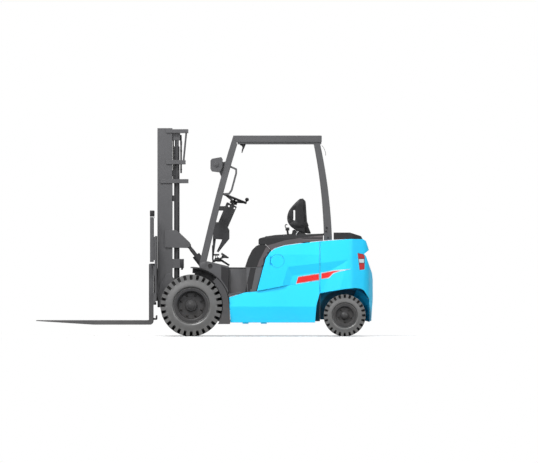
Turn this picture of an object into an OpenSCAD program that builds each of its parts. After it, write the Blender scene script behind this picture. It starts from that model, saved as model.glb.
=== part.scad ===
// Counterbalanced four-wheel electric forklift truck with a two-stage mast.
// X runs forward to the fork tips, Y to the left, Z up from the floor.
// Millimetres. The outlines are drawn from the front axle and then moved to the middle.

/* [Truck] */
// Distance between the front and the rear axle
wheelbase = 1650; // [1550:5:1800]
// Width over the front tyres
overall_width = 1150; // [1120:5:1250]
// Step in of the body's sides from the outer faces of the front tyres
body_inset = 30; // [5:1:45]
// Counterweight's end behind the rear axle
rear_overhang = 304; // [298:1:330]
// Underside of the frame above the floor
ground_clearance = 149; // [120:1:165]
// Height of the foot floor
floor_height = 741; // [725:1:760]
// Thickness of floor and tread sheets
sheet = 12; // [8:1:16]
// Gap between neighbouring fixed panels
seam = 4; // [3:0.5:6]
// Gap between pieces that rest on each other
rest_gap = 0.3; // [0.2:0.05:0.6]
// Running clearance of pins and rods, on the radius
running = 0.08; // [0.03:0.01:0.1]

/* [Wheels] */
// Outer diameter of the front tyre
front_tyre_d = 664; // [640:2:690]
// Width of the front tyre
front_tyre_w = 180; // [160:2:190]
// Seat diameter of the front rim
front_rim_d = 330; // [310:2:350]
// Lugs on each shoulder of a front tyre
front_lugs = 28; // [20:1:34]
// Outer diameter of the rear tyre
rear_tyre_d = 452; // [436:2:458]
// Width of the rear tyre
rear_tyre_w = 135; // [120:1:140]
// Seat diameter of the rear rim
rear_rim_d = 212; // [204:2:220]
// Lugs on each shoulder of a rear tyre
rear_lugs = 24; // [18:1:30]
// Step in of the rear tyres from the body's sides
rear_inset = 2.5; // [1:0.5:12]
// Kingpin inboard of the rear tyre's middle
kingpin_offset = 60; // [56:1:64]
// Depth of the gaps between the lugs of a front tyre
lug_depth = 44; // [34:1:50]

/* [Mast] */
// Top of the outer rails above the floor
mast_height = 2233; // [2150:5:2300]
// Gap between the outer rails and the front tyres
mast_clearance = 55; // [50:1:60]
// Depth of the rails, front to back
rail_depth = 159; // [150:1:166]
// Rear face of the rails ahead of the front axle
rail_back = 206; // [200:1:212]
// Thickness of the rail webs
web = 15; // [12:1:18]
// Thickness of the rail flanges
flange = 18; // [14:1:22]
// Length of the rail flanges, web included
flange_length = 70; // [66:1:74]
// Gap between outer and inner rail
rail_gap = 8; // [6:0.5:10]
// Lower end of the outer rails
rail_foot = 295; // [285:1:310]
// How far the inner rails stand over the outer ones
inner_rise = 8; // [6:1:12]
// Stroke of the inner mast from the position shown
lift_stroke = 1500; // [1400:10:1520]
// Radius of a lift cylinder
lift_r = 28; // [25:0.5:30]
// Radius of a lift rod
lift_rod_r = 20; // [16:0.5:22]
// Lift cylinder's axis ahead of the front axle
lift_x = 158; // [155:1:160]
// Lift cylinder's axis inside the outer face of the rails
lift_inset = 50; // [48:1:53]

/* [Tilt cylinders] */
// Upper pin ahead of the front axle
tilt_pin_x = 34; // [30:1:40]
// Upper pin above the floor
tilt_pin_z = 977; // [965:1:990]
// Lower pin behind the front axle
tilt_base_x = 286; // [280:1:292]
// Lower pin above the floor
tilt_base_z = 567; // [560:1:575]
// Cylinder's middle plane inside the outer face of the rails
tilt_inset = 22; // [20:1:24]
// Radius of a tilt cylinder
tilt_r = 42; // [38:1:44]
// Radius of a tilt rod
tilt_rod_r = 19; // [16:0.5:22]
// Radius of the tilt pins
tilt_pin_r = 15; // [13:0.5:16]
// Play of the rod's eye round its pin, on the radius
eye_play = 4.5; // [4.4:0.1:6]

/* [Carriage and forks] */
// Length of a fork blade from the shank's face
fork_length = 1220; // [1070:10:1370]
// Width of a fork
fork_w = 122; // [100:1:130]
// Thickness of a fork
fork_t = 46; // [40:1:50]
// Distance between the forks' middles
fork_spread = 480; // [440:5:500]
// Underside of the fork blade above the floor
fork_bottom = 125; // [122:1:130]
// Width of the fork carriage
carriage_w = 1020; // [980:5:1040]
// Thickness of the carriage bars
bar_t = 30; // [26:1:32]
// Height over both carriage bars
bar_span = 407; // [400:1:414]
// Bottom of the lower bar above the floor
bar_bottom = 353; // [346:1:360]
// Top of the load backrest above the floor
backrest_top = 1353; // [1250:5:1450]

/* [Overhead guard] */
// Top of the guard above the floor
guard_height = 2160; // [2110:5:2220]
// Step in of the guard from the body's sides
guard_inset = 40; // [30:1:50]
// Width of pillars, posts and roof beams
tube = 60; // [50:1:64]
// Depth of the roof beams
beam_depth = 70; // [60:1:80]
// Bars in the roof
roof_bars = 7; // [5:1:9]

/* [Operator's place] */
// Radius of the steering wheel's rim, at the middle of its section
wheel_r = 122; // [115:1:130]
// Radius of the rim's section
wheel_section_r = 13; // [11:0.5:15]
// Lean of the steering column from upright
column_lean = 22; // [20:1:25]
// Width of the seat
seat_w = 470; // [440:5:490]
// Radius of the charge flap
flap_r = 70; // [60:1:75]

/* [Hidden] */
$fn = 64;
front_r = front_tyre_d / 2;
rear_r = rear_tyre_d / 2;
rear_x = -wheelbase;
half = overall_width / 2 - body_inset;
rail_front = rail_back + rail_depth;
shank_back = rail_front + 46;
shank_face = shank_back + fork_t;
front_reach = shank_face + fork_length;
front_axle_x = (wheelbase + rear_overhang - front_reach) / 2;
front_y = (overall_width - front_tyre_w) / 2;
tyre_in = overall_width / 2 - front_tyre_w;
rear_y = half - rear_inset - rear_tyre_w / 2;
kingpin_y = rear_y - kingpin_offset;
seam_x = rear_x + 265;
deck_rear = rear_x + 233;
mast_half = tyre_in - mast_clearance;
lift_y = mast_half - lift_inset;
plate_in = mast_half - 140;
tilt_y = mast_half - tilt_inset;
tip_y = mast_half - flange_length;
inner_half = tip_y - rail_gap;
inner_tip = inner_half - flange_length;
roller_x = rail_back + rail_depth / 2;
roller_r = rail_depth / 2 - flange - 0.4;
axle_r = 75;
spindle_r = 36;
fender_in = front_r + 16;
fender_out = front_r + 82;
bulkhead_x = -352;
bulkhead_half = tyre_in - 14 - rest_gap;
fender_tail = -422;
guard_half = half - guard_inset;
blue = [0.1, 0.77, 1];
grey = [0.4, 0.4, 0.41];
dark = [0.2, 0.2, 0.21];
black = [0.07, 0.07, 0.075];

// Outlines with round corners: each point is x, y and a corner radius
function unit(v) = v / norm(v);
function corner(a, p, b, r, n) =
    r <= 0 ? [p] :
    let (u = unit(a - p), v = unit(b - p), half_angle = acos(u * v) / 2)
    let (c = p + unit(u + v) * r / sin(half_angle))
    let (s = p + u * r / tan(half_angle) - c, e = p + v * r / tan(half_angle) - c)
    let (a0 = atan2(s.y, s.x), turn = (atan2(e.y, e.x) - a0 + 540) % 360 - 180)
    [for (i = [0 : n]) c + r * [cos(a0 + turn * i / n), sin(a0 + turn * i / n)]];
function rounded(pts, n = 6) =
    let (k = len(pts))
    [for (i = [0 : k - 1])
        let (q = pts[i], a = pts[(i + k - 1) % k], b = pts[(i + 1) % k])
        each corner([a.x, a.y], [q.x, q.y], [b.x, b.y], len(q) > 2 ? q[2] : 0, n)];

// Points on a circle round the front axle, by the angle back from straight up
function wheel_arc(r, a0, a1, n) =
    [for (i = [0 : n]) let (a = a0 + (a1 - a0) * i / n) [-r * sin(a), front_r + r * cos(a)]];

// A bend through three points
function bend(p, q, s, n) =
    [for (i = [0 : n]) let (t = i / n) (1 - t) * (1 - t) * p + 2 * t * (1 - t) * q + t * t * s];

// A strip of half-width w along a line of points
function side_of(d) = [-d.y, d.x];
function offset_at(pts, i, w) =
    let (k = len(pts) - 1)
    let (a = side_of(unit(i > 0 ? pts[i] - pts[i - 1] : pts[1] - pts[0])))
    let (b = side_of(unit(i < k ? pts[i + 1] - pts[i] : pts[k] - pts[k - 1])))
    let (m = unit(a + b))
    pts[i] + m * w / (m * a);
function ribbon(pts, w) =
    let (k = len(pts) - 1)
    concat([for (i = [0 : k]) offset_at(pts, i, w)], [for (i = [k : -1 : 0]) offset_at(pts, i, -w)]);

module rig() translate([front_axle_x, 0, 0]) children();

// A side outline (x, z) from y0 to y1
module slab(pts, y0, y1) translate([0, y1, 0]) rotate([90, 0, 0]) linear_extrude(y1 - y0) polygon(pts);

// A cross-section (y, z) from x0 to x1
module bar_x(pts, x0, x1) translate([x0, 0, 0]) rotate([90, 0, 90]) linear_extrude(x1 - x0) polygon(pts);

// A box by its lower and upper corners
module box(a, b) translate(a) cube(b - a);

// A round bar along y
module bar_y(x, z, r, y0, y1) translate([x, y1, z]) rotate([90, 0, 0]) cylinder(r = r, h = y1 - y0);

// A round bar between two points of the side view, at one y
module rod(p, q, y, r)
    translate([p.x, y, p.y]) rotate([0, atan2(q.x - p.x, q.y - p.y), 0]) cylinder(r = r, h = norm(q - p));

module pair() {
    children();
    mirror([0, 1, 0]) children();
}

// Frame: two side sills, a floor pan, the front bulkhead and its axle and cylinder lugs
sill_wall = 70;
sill_in = half - sill_wall;
sill_crease = 321;
sill_outline = [
    [-406, 418], [-578, 472], [-707, 483], [rear_x + 523, 563], [seam_x + seam, 606],
    [seam_x + seam, 461], [rear_x + 303, 338], [rear_x + 319, ground_clearance], [-422, ground_clearance]
];
sill_section = [
    [sill_in, 0], [half - 30, 0], [half - 22, ground_clearance], [half, sill_crease],
    [half - 30, 640], [sill_in, 640]
];

function sill_top(x) = x > rear_x + 523 ?
    483 + (x + 707) * (563 - 483) / (rear_x + 523 + 707) :
    563 + (x - rear_x - 523) * (606 - 563) / (seam_x + seam - rear_x - 523);

module frame() {
    color(blue) rig() {
        difference() {
            union() {
                pair() intersection() {
                    slab(sill_outline, sill_in, half);
                    bar_x(sill_section, rear_x, 0);
                }
                box([bulkhead_x - 15, -bulkhead_half, ground_clearance + 10],
                    [bulkhead_x, bulkhead_half, floor_height - sheet - rest_gap]);
                box([fender_tail - seam, -bulkhead_half, ground_clearance + 10],
                    [bulkhead_x - 14, bulkhead_half, ground_clearance + 24]);
                box([rear_x + 330, -sill_in - 1, ground_clearance + 10],
                    [fender_tail - seam + 1, sill_in + 1, ground_clearance + 24]);
                box([seam_x + rest_gap, -sill_in - 1, 470], [seam_x + 30, sill_in + 1, 556]);
                pair() box([seam_x + rest_gap, web_in, ground_clearance + 12], [web_end,
                    web_in + web_wall, 471]);
                pair() for (x = [-615, -812])
                    box([x, half - 62, ground_clearance - 13], [x + 64, half - 36, ground_clearance + 1]);
                pair() {
                    slab([[bulkhead_x - 5, 200], [bulkhead_x - 5, 480], [0, front_r + 110], [60,
                        front_r + 92],
                          [60, front_r - 92], [0, front_r - 110]], plate_in, plate_in + 30);
                    for (y = [tilt_y - 41, tilt_y + 25])
                        slab(rounded([[bulkhead_x - 5, tilt_base_z - 60], [bulkhead_x - 5, tilt_base_z + 60],
                            [-tilt_base_x + 34, tilt_base_z + 34, 30], [-tilt_base_x + 34,
                                tilt_base_z - 34, 30]]),
                            y, y + 16);
                    bar_y(-tilt_base_x, tilt_base_z, tilt_pin_r, tilt_y - 43, tilt_y + 43);
                }
            }
            bar_y(0, front_r, axle_r + rest_gap, -mast_half + 80, mast_half - 80);
        }
    }
}

module battery() {
    color(dark) rig()
        box([web_end + seam, -sill_in + 25, ground_clearance + 24 + rest_gap], [-740, sill_in - 25, 900]);
}

// Drive axle: tube with spindles, the gear case and the drive motor
module drive_axle() {
    color(dark) rig() {
        bar_y(0, front_r, axle_r, 15 - tyre_in, tyre_in - 15);
        pair() bar_y(0, front_r, spindle_r, tyre_in - 16, front_y + 48);
        bar_y(0, front_r, 118, -plate_in * 0.306, plate_in * 0.748);
        bar_y(-175, front_r + 10, 88, -plate_in * 0.748, plate_in * 0.901);
        slab(rounded([[-260, 250, 20], [-260, 430, 20], [-60, 445, 20], [60, 420, 20], [60, 240, 20]]),
            -plate_in * 0.153, plate_in * 0.289);
    }
}

// Front fenders: a lip beside the tyre and a roof over it
module front_fenders() {
    low = ground_clearance - 16;
    lip_a = 42;
    tail_a = acos((418 - front_r) / fender_out);
    foot_a = acos((low - front_r) / fender_in);
    color(dark) rig() pair() {
        slab(concat(wheel_arc(fender_out, lip_a, tail_a, 12), [[fender_tail + seam + 2, low]],
                    wheel_arc(fender_in, foot_a, lip_a, 18)), front_y + 38, front_y + 68);
        slab(concat(wheel_arc(fender_out, -1, tail_a, 18), wheel_arc(fender_out - sheet, tail_a, -1, 18)),
             tyre_in - 10, front_y + 67);
        slab(concat(wheel_arc(fender_out, 2, tail_a, 16), [[fender_tail + seam + 2, low]],
                    wheel_arc(fender_in, foot_a, 2, 20)), tyre_in - 14, tyre_in - 6);
    }
}

// Closed housings between the fenders, the pillars and the floor
cowl_front = [-90, 800];
cowl_rear = [-175, 806];
module cowls() {
    color(dark) rig() pair()
        slab(concat([cowl_front, cowl_rear, [-400, 752]],
                    wheel_arc(fender_out + rest_gap, 74, 12, 16)), tyre_in - 10, front_y + 30);
}

// Floor with a rising toe board, notched for the tilt cylinders
module floor_plate() {
    top = floor_height;
    color(black) rig() difference() {
        union() {
            box([-640, -half + 130, top - sheet], [-404, half - 130, top]);
            box([-405, -tyre_in + 14, top - sheet], [-370, tyre_in - 14, top]);
            slab([[-371, top - sheet], [-371, top], [-232, top + 50], [-232, top + 50 - sheet]],
                 -tyre_in + 14, tyre_in - 14);
        }
        pair() box([-340, tilt_y - 60, top - 40], [-200, tilt_y + 60, top + 100]);
    }
}

// Side steps: riser, tread and the trim below the front cover
module steps() {
    trim_top = floor_height + seam - rest_gap;
    color(dark) rig() pair() {
        box([-700, half - 129, 470 + rest_gap], [-404, half - 117, floor_height - sheet - rest_gap]);
        slab([[-404, 424], [-404, 466], [-590, 478], [-700, 489], [-700, 487], [-578, 476]],
             half - 118, half - 24);
        slab([[-600, 474], [-590, trim_top], [-769, trim_top], [-698, 484]], sill_in + 2, half - 20);
    }
}

// Front cover of the battery bay: a curved front with side bands
cover_front = [[-578, floor_height + seam], [-611, 843], [-654, 929], [-697, 972], [-726, 984]];
panel_edge = [[-707, 488], [-772, 735], [-804, 843], [-847, 907], [-901, 945], [-1008, 977],
              [rear_x + 480, 999], [rear_x + 319, 1017]];
module front_cover() {
    color(black) rig() difference() {
        slab(concat(cover_front, [[-790, 984], [-856, 920], [-843, 905], [-800, 841], [-769,
            floor_height + seam]]),
             -half + 18, half - 18);
        slab([[-594, 700], [-627, 843], [-668, 921], [-705, 956], [-740, 968], [-740, 1000], [-1000,
            1000], [-1000, 700]],
             -half + 32, half - 32);
    }
}

// Recess in the body's side, with a sloped top and front that run out on the counterweight
recess_front = rear_x + 610;
recess_top = 748;
recess_depth = 24;
recess_rise = 6.7;
recess_lean = 17;
recess_brow = 97;
recess_flank = 75;
recess_run_out = 160;
recess_length = 600;
module recess() {
    out = 6;
    brow_out = out * recess_brow / recess_depth;
    flank_out = out * recess_flank / recess_depth;
    end_out = out * recess_run_out / recess_depth;
    floor_y = half - recess_depth;
    translate([recess_front, 0, recess_top]) intersection() {
        rotate([0, recess_rise, 0]) bar_x([[floor_y, -recess_length], [floor_y, -recess_brow],
            [half + out, brow_out], [half + out, -recess_length]], -2 * recess_length, recess_length);
        rotate([0, -recess_lean, 0]) translate([0, 0,
            -recess_length]) linear_extrude(2 * recess_length) polygon([
            [recess_run_out - recess_length, floor_y], [-recess_flank, floor_y],
            [flank_out, half + out], [-recess_length - end_out, half + out]]);
    }
}

// Side panels beside the battery bay, the left one with the charge opening
panel_section = [[half - 48, 0], [half, 0], [half, 880], [half - 16, 1040], [half - 48, 1040]];
flap_x = -928;
flap_z = 811;
module side_panels() {
    outline = concat(panel_edge, [[seam_x + seam, 1021], [seam_x + seam, 610], [rear_x + 523, 567]]);
    tongue = [[-720, sill_top(-720) + rest_gap], [rear_x + 523, sill_top(rear_x + 523) + rest_gap],
              [seam_x + 20, sill_top(seam_x + 20) + rest_gap], [seam_x + 20, 640], [rear_x + 523, 600],
                  [-720, 520]];
    color(blue) rig() difference() {
        pair() intersection() {
            union() {
                slab(outline, half - 48, half);
                slab(tongue, half - 48, half - 26);
            }
            bar_x(panel_section, rear_x, 0);
        }
        pair() recess();
        bar_y(flap_x, flap_z, flap_r + 2, half - 20, half + 10);
        bar_y(flap_x, flap_z, flap_r - 20, half - 70, half + 10);
        box([flap_x + flap_r - 18, half - 14, flap_z - 45], [flap_x + flap_r + 12, half + 10, flap_z + 45]);
    }
}

module charge_flap() {
    color(blue) rig() {
        bar_y(flap_x, flap_z, flap_r, half - 20 + rest_gap, half - 1);
        translate([flap_x + flap_r, half - 6, flap_z - 25]) cylinder(r = 5, h = 50);
    }
}

// Counterweight over the steer axle
function rear_plan(i) = rounded([
    [seam_x, half - i], [rear_x - 70, half - i, 120], [rear_x - 250, half * 0.8 - i, half * 0.29],
    [rear_x - rear_overhang + i, half * 0.46, half * 0.73], [rear_x - rear_overhang + i, -half * 0.46,
        half * 0.73],
    [rear_x - 250, -half * 0.8 + i, half * 0.29], [rear_x - 70, -half + i, 120], [seam_x, -half + i]
], 8);
weight_outline = [
    [seam_x, 1023], [deck_rear, 1026], [rear_x - 57, 1047], [rear_x - 197, 1047], [rear_x - 229, 1026],
    [rear_x - 261, 929], [rear_x - 229, 902], [rear_x - 208, 886], [rear_x - 229, 864], [rear_x - 294, 682],
    [rear_x - rear_overhang, 606], [rear_x - rear_overhang, 400], [rear_x - 294, 284], [rear_x - 287, 166],
    [rear_x - 264, 166], [rear_x - 262, 402], [rear_x - 240, 440], [rear_x - 210, 490],
    [rear_x - 175, 512], [rear_x - 122, 520], [rear_x - 3, 510], [rear_x + 158, 483], [seam_x, 464]
];
lamp_outline = [[rear_x - 138, 897], [rear_x - 200, 884], [rear_x - 215, 860], [rear_x - 214, 720],
    [rear_x - 160, 714]];
tow_z = 620;
tow_half = 110;
weight_low = 180;
web_in = 104;
web_wall = 24;
web_end = rear_x + 331;
function tunnel_z(x) = x > -3 ? 510 - (x + 3) * 27 / 161 : 510 - (x + 3) * 10 / 119;

module counterweight() {
    color(blue) rig() difference() {
        intersection() {
            slab(weight_outline, -half, half);
            linear_extrude(guard_height) polygon(rear_plan(0));
        }
        pair() recess();
        box([rear_x + 120, 145 - half, 560], [seam_x + 1, half - 145, 990]);
        difference() {
            pair() slab(lamp_outline, half * 0.37, half + 20);
            linear_extrude(guard_height) polygon(rear_plan(30));
        }
        box([rear_x - rear_overhang - 10, -tow_half, tow_z - 75], [rear_x - rear_overhang + 110, tow_half,
            tow_z + 250]);
    }
    color(blue) rig() pair() slab([
        [rear_x - 255, weight_low], [rear_x - 255, 420], [rear_x - 200, 530], [seam_x - 1, 500],
            [seam_x - 1, weight_low],
        [rear_x + 98, weight_low], [rear_x + 98, rear_r + 64], [rear_x - 98, rear_r + 64], [rear_x - 98,
            weight_low]
    ], web_in, web_in + web_wall);
}

module tail_lamps() {
    color([0.8, 0.1, 0.08]) rig() difference() {
        intersection() {
            pair() slab(lamp_outline, half * 0.37, half + 20);
            linear_extrude(guard_height) polygon(rear_plan(4));
        }
        linear_extrude(guard_height) polygon(rear_plan(30));
    }
}

// Tow coupling: two ears with a bore for a loose pin
module tow_coupling() {
    back = rear_x - rear_overhang + 110 - rest_gap;
    eye = rear_x - rear_overhang + 50;
    color(dark) rig() difference() {
        union() {
            box([back - 14, -80, tow_z - 66], [back, 80, tow_z + 66]);
            for (z = [tow_z - 62, tow_z + 40]) {
                box([eye, -40, z], [back - 13, 40, z + 22]);
                translate([eye, 0, z]) cylinder(r = 40, h = 22);
            }
        }
        translate([eye, 0, tow_z - 100]) cylinder(r = 16, h = 200);
    }
}

// Cover on the counterweight behind the guard
module rear_cover() {
    color(black) rig() intersection() {
        slab([[rear_x + 115, 1040], [rear_x + 115, 1117], [rear_x - 57, 1117], [rear_x - 175, 1079],
              [rear_x - 191, 1052], [rear_x - 191, 1047 + rest_gap], [rear_x - 57, 1047 + rest_gap]],
             -half + 20, half - 20);
        linear_extrude(guard_height) polygon(rear_plan(20));
    }
}

// Overhead guard
pillar_y0 = guard_half - tube;
pillar_foot = 806;
roof_front = -453;
roof_rear = rear_x + 247;
roof_low = guard_height - beam_depth - 20;
function rise(part) = pillar_foot + (guard_height - pillar_foot) * part;
front_edge = bend([-90, pillar_foot - 12], [-285, rise(0.616)], [roof_front, guard_height], 12);
pillar_depth = 70;
function pillar_x(z) = lookup(z, [for (p = front_edge) [p.y, p.x]]);
mitre_foot = pillar_x(roof_low) - pillar_depth;
function mitre_x(z) = roof_front + (mitre_foot - roof_front) * (guard_height - z) / (guard_height - roof_low);
handle = [[-405, rise(0.759)], [-482, rise(0.734)], [-482, rise(0.702)], [-433, rise(0.567)], [-406,
    rise(0.539)],
          [-330, rise(0.535)]];
module guard_front() {
    rear_side = [for (i = [12 : -1 : 0]) front_edge[i] - [pillar_depth, -4]];
    joint = 1.2 * rest_gap;
    color(grey) rig() {
        pair() {
            intersection() {
                slab(concat(front_edge, rear_side), pillar_y0, guard_half);
                slab([[0, cowl_front.y + rest_gap], cowl_front + [0, rest_gap], cowl_rear + [0, rest_gap],
                      [-700, cowl_rear.y + rest_gap], [-700, roof_low - rest_gap],
                      [mitre_foot + joint, roof_low - rest_gap], [roof_front + joint, guard_height],
                      [0, guard_height]], 0, half);
            }
            slab(ribbon(handle, 9), guard_half - tube / 2 - 9, guard_half - tube / 2 + 9);
        }
    }
}

post_foot = 1032;
post_front = bend([rear_x + 330, roof_low - rest_gap], [rear_x + 228,
    post_foot + (roof_low - post_foot) * 0.51],
                  [rear_x + 220, post_foot], 12);
module guard_rear() {
    rear_side = [for (i = [12 : -1 : 0]) post_front[i] - [66 + 18 * i / 12, i == 12 ? -6 : 0]];
    color(grey) rig() {
        pair() slab(concat(post_front, rear_side), pillar_y0, guard_half);
        box([rear_x + 138, -pillar_y0 - 1, 1042], [rear_x + 214, pillar_y0 + 1, 1094]);
        translate([post_front[4].x, 0, post_front[4].y]) box([-56, -pillar_y0 - 1, -20], [-16,
            pillar_y0 + 1, 20]);
        pair() {
            slab([[rear_x + 212, 1060], [rear_x + 212, 1094], [hinge_x, hinge_z + 9], [hinge_x + 9, hinge_z],
                  [hinge_x, hinge_z - 9]], hinge_y, hinge_y + 18);
            bar_y(hinge_x, hinge_z, 5, hinge_y + 1, hinge_y + 42);
        }
    }
}

module guard_roof() {
    inner = guard_half - tube;
    span = 2 * inner;
    color(grey) rig() {
        pair() {
            slab(rounded([[roof_front, guard_height], [roof_rear, guard_height, 8],
                [roof_rear, guard_height - beam_depth], [mitre_x(guard_height - beam_depth),
                    guard_height - beam_depth]]),
                inner, guard_half);
            slab([[mitre_foot - 3, guard_height - beam_depth + 1], [roof_rear + 4,
                guard_height - beam_depth + 1],
                  [roof_rear + 4, roof_low], [mitre_foot - 3, roof_low]], inner + 2, guard_half - 10);
        }
        box([roof_front - 86, -inner - 1, guard_height - 62], [roof_front - 40, inner + 1,
            guard_height - 6]);
        box([roof_rear + 24, -inner - 1, guard_height - 62], [roof_rear + 70, inner + 1, guard_height - 6]);
        for (i = [1 : roof_bars])
            translate([0, -inner + span * i / (roof_bars + 1), 0])
                box([roof_rear + 69, -12, guard_height - 56], [roof_front - 85, 12, guard_height - 12]);
    }
}

// Headlamps with swivel bosses, on brackets at the front pillars
lamp_x = -269;
lamp_z = rise(0.77);
module headlamps() {
    y0 = pillar_y0 - 22;
    y1 = guard_half + 28;
    foot = rise(0.673);
    color(black) rig() pair() {
        translate([lamp_x, 0, lamp_z]) {
            slab(rounded([[57, -62, 8], [57, 50, 8], [46, 62, 6], [-54, 80, 10], [-66, 62, 8], [-66, -30, 8],
                          [-38, -82, 10], [46, -72, 6]]), y0, y1);
            bar_y(0, 0, 25, y1 - 1, y1 + 9);
            bar_y(0, 0, 13, y1 + 8, y1 + 14);
        }
        slab(concat([[lamp_x - 30, lamp_z - 76], [lamp_x - 60, lamp_z + 26]],
                    [for (z = [front_edge[9].y, front_edge[8].y, foot]) [pillar_x(z) + rest_gap, z]]),
             pillar_y0 + 16, guard_half - 16);
    }
}

// Console with the steering column, held by a beam between the pillars
wheel_c = [-471, 1482];
column_top = 62;
function on_column(d) = wheel_c + d * [-sin(column_lean), cos(column_lean)];
module console() {
    beam_z = 1378;
    color(black) rig() {
        slab(rounded([[-247, 1229, 8], [-358, 1229, 14], [-409, 1144, 12], [-409, 1049, 12], [-332, 955, 8],
                      [-290, 902, 6], [-272, 914, 4], [-318, 1010], [-330, 1041], [-229, 1049, 8]]), -150,
                          150);
        difference() {
            slab(rounded([[-382, 1446, 8], [-490, 1396, 8], [-392, 1170], [-282, 1210]]), -52, 52);
            bar_y(-403, 1402, 10, -60, 60);
            bar_y(-464, 1379, 9, -60, 60);
        }
        slab([[-236, floor_height + 50 + rest_gap], [-224, floor_height + 50 + rest_gap], [-232, 1060],
            [-266, 1060],
              [-236, 835]], -110, 110);
        rod(on_column(-130), on_column(-column_top), 0, 20);
        bar_y(pillar_x(beam_z) - 31, beam_z, 22, -pillar_y0 + rest_gap, pillar_y0 - rest_gap);
        box([-375, -40, beam_z - 25], [pillar_x(beam_z) - 35, 40, beam_z + 24]);
    }
}

module steering_wheel() {
    color(black) rig() translate([wheel_c.x, 0, wheel_c.y]) rotate([0, -column_lean, 0]) {
        rotate_extrude($fn = 72) translate([wheel_r, 0]) circle(r = wheel_section_r, $fn = 20);
        translate([0, 0, -column_top + rest_gap]) cylinder(r = 40, h = 38);
        for (a = [90, 210, 330])
            rotate([0, 0, a]) translate([0, 0, -36]) rotate([0, 74, 0]) cylinder(r = 11, h = wheel_r,
                $fn = 24);
        translate([-wheel_r, 0, wheel_section_r - 3]) cylinder(r = 8, h = 18);
        translate([-wheel_r, 0, wheel_section_r + 26]) sphere(r = 21, $fn = 32);
    }
}

module pedals() {
    color(dark) rig() {
        for (y = [-80, 170]) {
            rod([-250, 815], [-352, 852], y, 9);
            slab([[-318, 884], [-326, 896], [-404, 850], [-398, 838], [-352, 842]], y - 38, y + 38);
        }
        slab(rounded([[-252, 800], [-252, 838, 8], [-290, 850, 10], [-412, 772, 3], [-406, 760, 3], [-300,
            822]]),
             -228, -152);
        box([-256, -230, 796], [-236 - rest_gap, 250, 826]);
    }
}

// Hood with a well for the seat, hinged at its rear upper edge
hinge_x = rear_x + 226;
hinge_z = 1099;
hinge_y = pillar_y0 - 145;
hood_half = half - 18;
well_front = -812;
well_rear = -1262;
function deck_z(x) = 1084 + (x + 850) * (1106 - 1084) / (deck_rear + 850);
module hood() {
    base = [[-723, 988], [-723, 1040, 10], [-735, 1056, 14], [-850, 1084, 200], [deck_rear, 1106],
            [deck_rear, 1030], [rear_x + 319, 1022], [rear_x + 480, 1004], [-1008, 982], [-901, 950],
                [-862, 924],
            [-800, 988]];
    inside = [[-737, 900], [-737, 1036], [-850, 1070], [deck_rear + 16, 1092], [deck_rear + 16, 900]];
    section = [[-hood_half, 800], [hood_half, 800], [hood_half, 1058], [hood_half - 40, 1096],
               [hood_half - 50, 1120], [-hood_half + 50, 1120], [-hood_half + 40, 1096], [-hood_half, 1058]];
    color(black) rig() difference() {
        union() {
            difference() {
                intersection() {
                    slab(rounded(base), -hood_half, hood_half);
                    bar_x(section, deck_rear - 10, -600);
                }
                slab(inside, -hood_half + 40, hood_half - 40);
                pair() box([deck_rear - 1, hinge_y - 6, hinge_z - 40], [deck_rear + 10, hinge_y + 19,
                    hinge_z + 40]);
            }
            box([well_rear - 14, -seat_w / 2 - 20, 1004], [well_front + 14, seat_w / 2 + 20, 1078]);
            pair() slab([[-1078, 1080], [-1090, 1140], [-1110, 1149], [-1137, 1133 - rest_gap], [-1225,
                1108 - rest_gap],
                         [-1242, 1090], [-1242, 1080]], seat_w / 2 + 5, seat_w / 2 + 19);
            pair() slab([[hinge_x, hinge_z + 10], [deck_rear + 6, 1104], [deck_rear + 6, 1080], [hinge_x,
                hinge_z - 10],
                         [hinge_x - 8, hinge_z - 6], [hinge_x - 8, hinge_z + 6]], hinge_y + 20,
                             hinge_y + 40);
        }
        box([well_rear, -seat_w / 2 - 6, 1018], [well_front, seat_w / 2 + 6, 1200]);
        pair() bar_y(hinge_x, hinge_z, 5 + running, hinge_y + 19, hinge_y + 50);
    }
}

module seat_cushion() {
    color(black) rig()
        slab(rounded([[well_front - 6, 1018 + rest_gap, 10], [well_front - 6, 1078, 24], [-1040, 1094, 300],
                      [well_rear + 6, 1104, 20], [well_rear + 6, 1018 + rest_gap, 10]]), -seat_w / 2,
                          seat_w / 2);
}

// Seat back on its shell
module seat_back() {
    color(black) rig() {
        slab(rounded([[-1130, 1140, 20], [-1124, 1230], [-1136, 1390], [-1170, 1488, 14], [-1207, 1498, 12],
                      [-1223, 1477, 10], [-1240, 1230, 20], [-1294, deck_z(-1294) + rest_gap],
                      [well_rear - 4, deck_z(well_rear - 4) + rest_gap], [-1180, 1112]]),
             -seat_w / 2 + 30, seat_w / 2 - 30);
    }
}

// Hip restraints: padded loops beside the seat back
module hip_restraints() {
    color(dark) rig() pair() difference() {
        slab(rounded([[-1170, 1486, 10], [-1105, 1423, 40], [-1051, 1359, 40], [-1030, 1294, 50], [-1035,
            1230, 40],
                      [-1073, 1176, 40], [-1137, 1133, 20], [-1225, 1108, 6], [-1228, 1300], [-1218, 1470,
                          10]]),
             seat_w / 2 - 30 + rest_gap, seat_w / 2 + 20);
        slab(rounded([[-1094, 1250, 9], [-1094, 1360, 9], [-1116, 1366, 9], [-1116, 1244, 9]]),
             seat_w / 2 - 60, seat_w / 2 + 40);
    }
}

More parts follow.
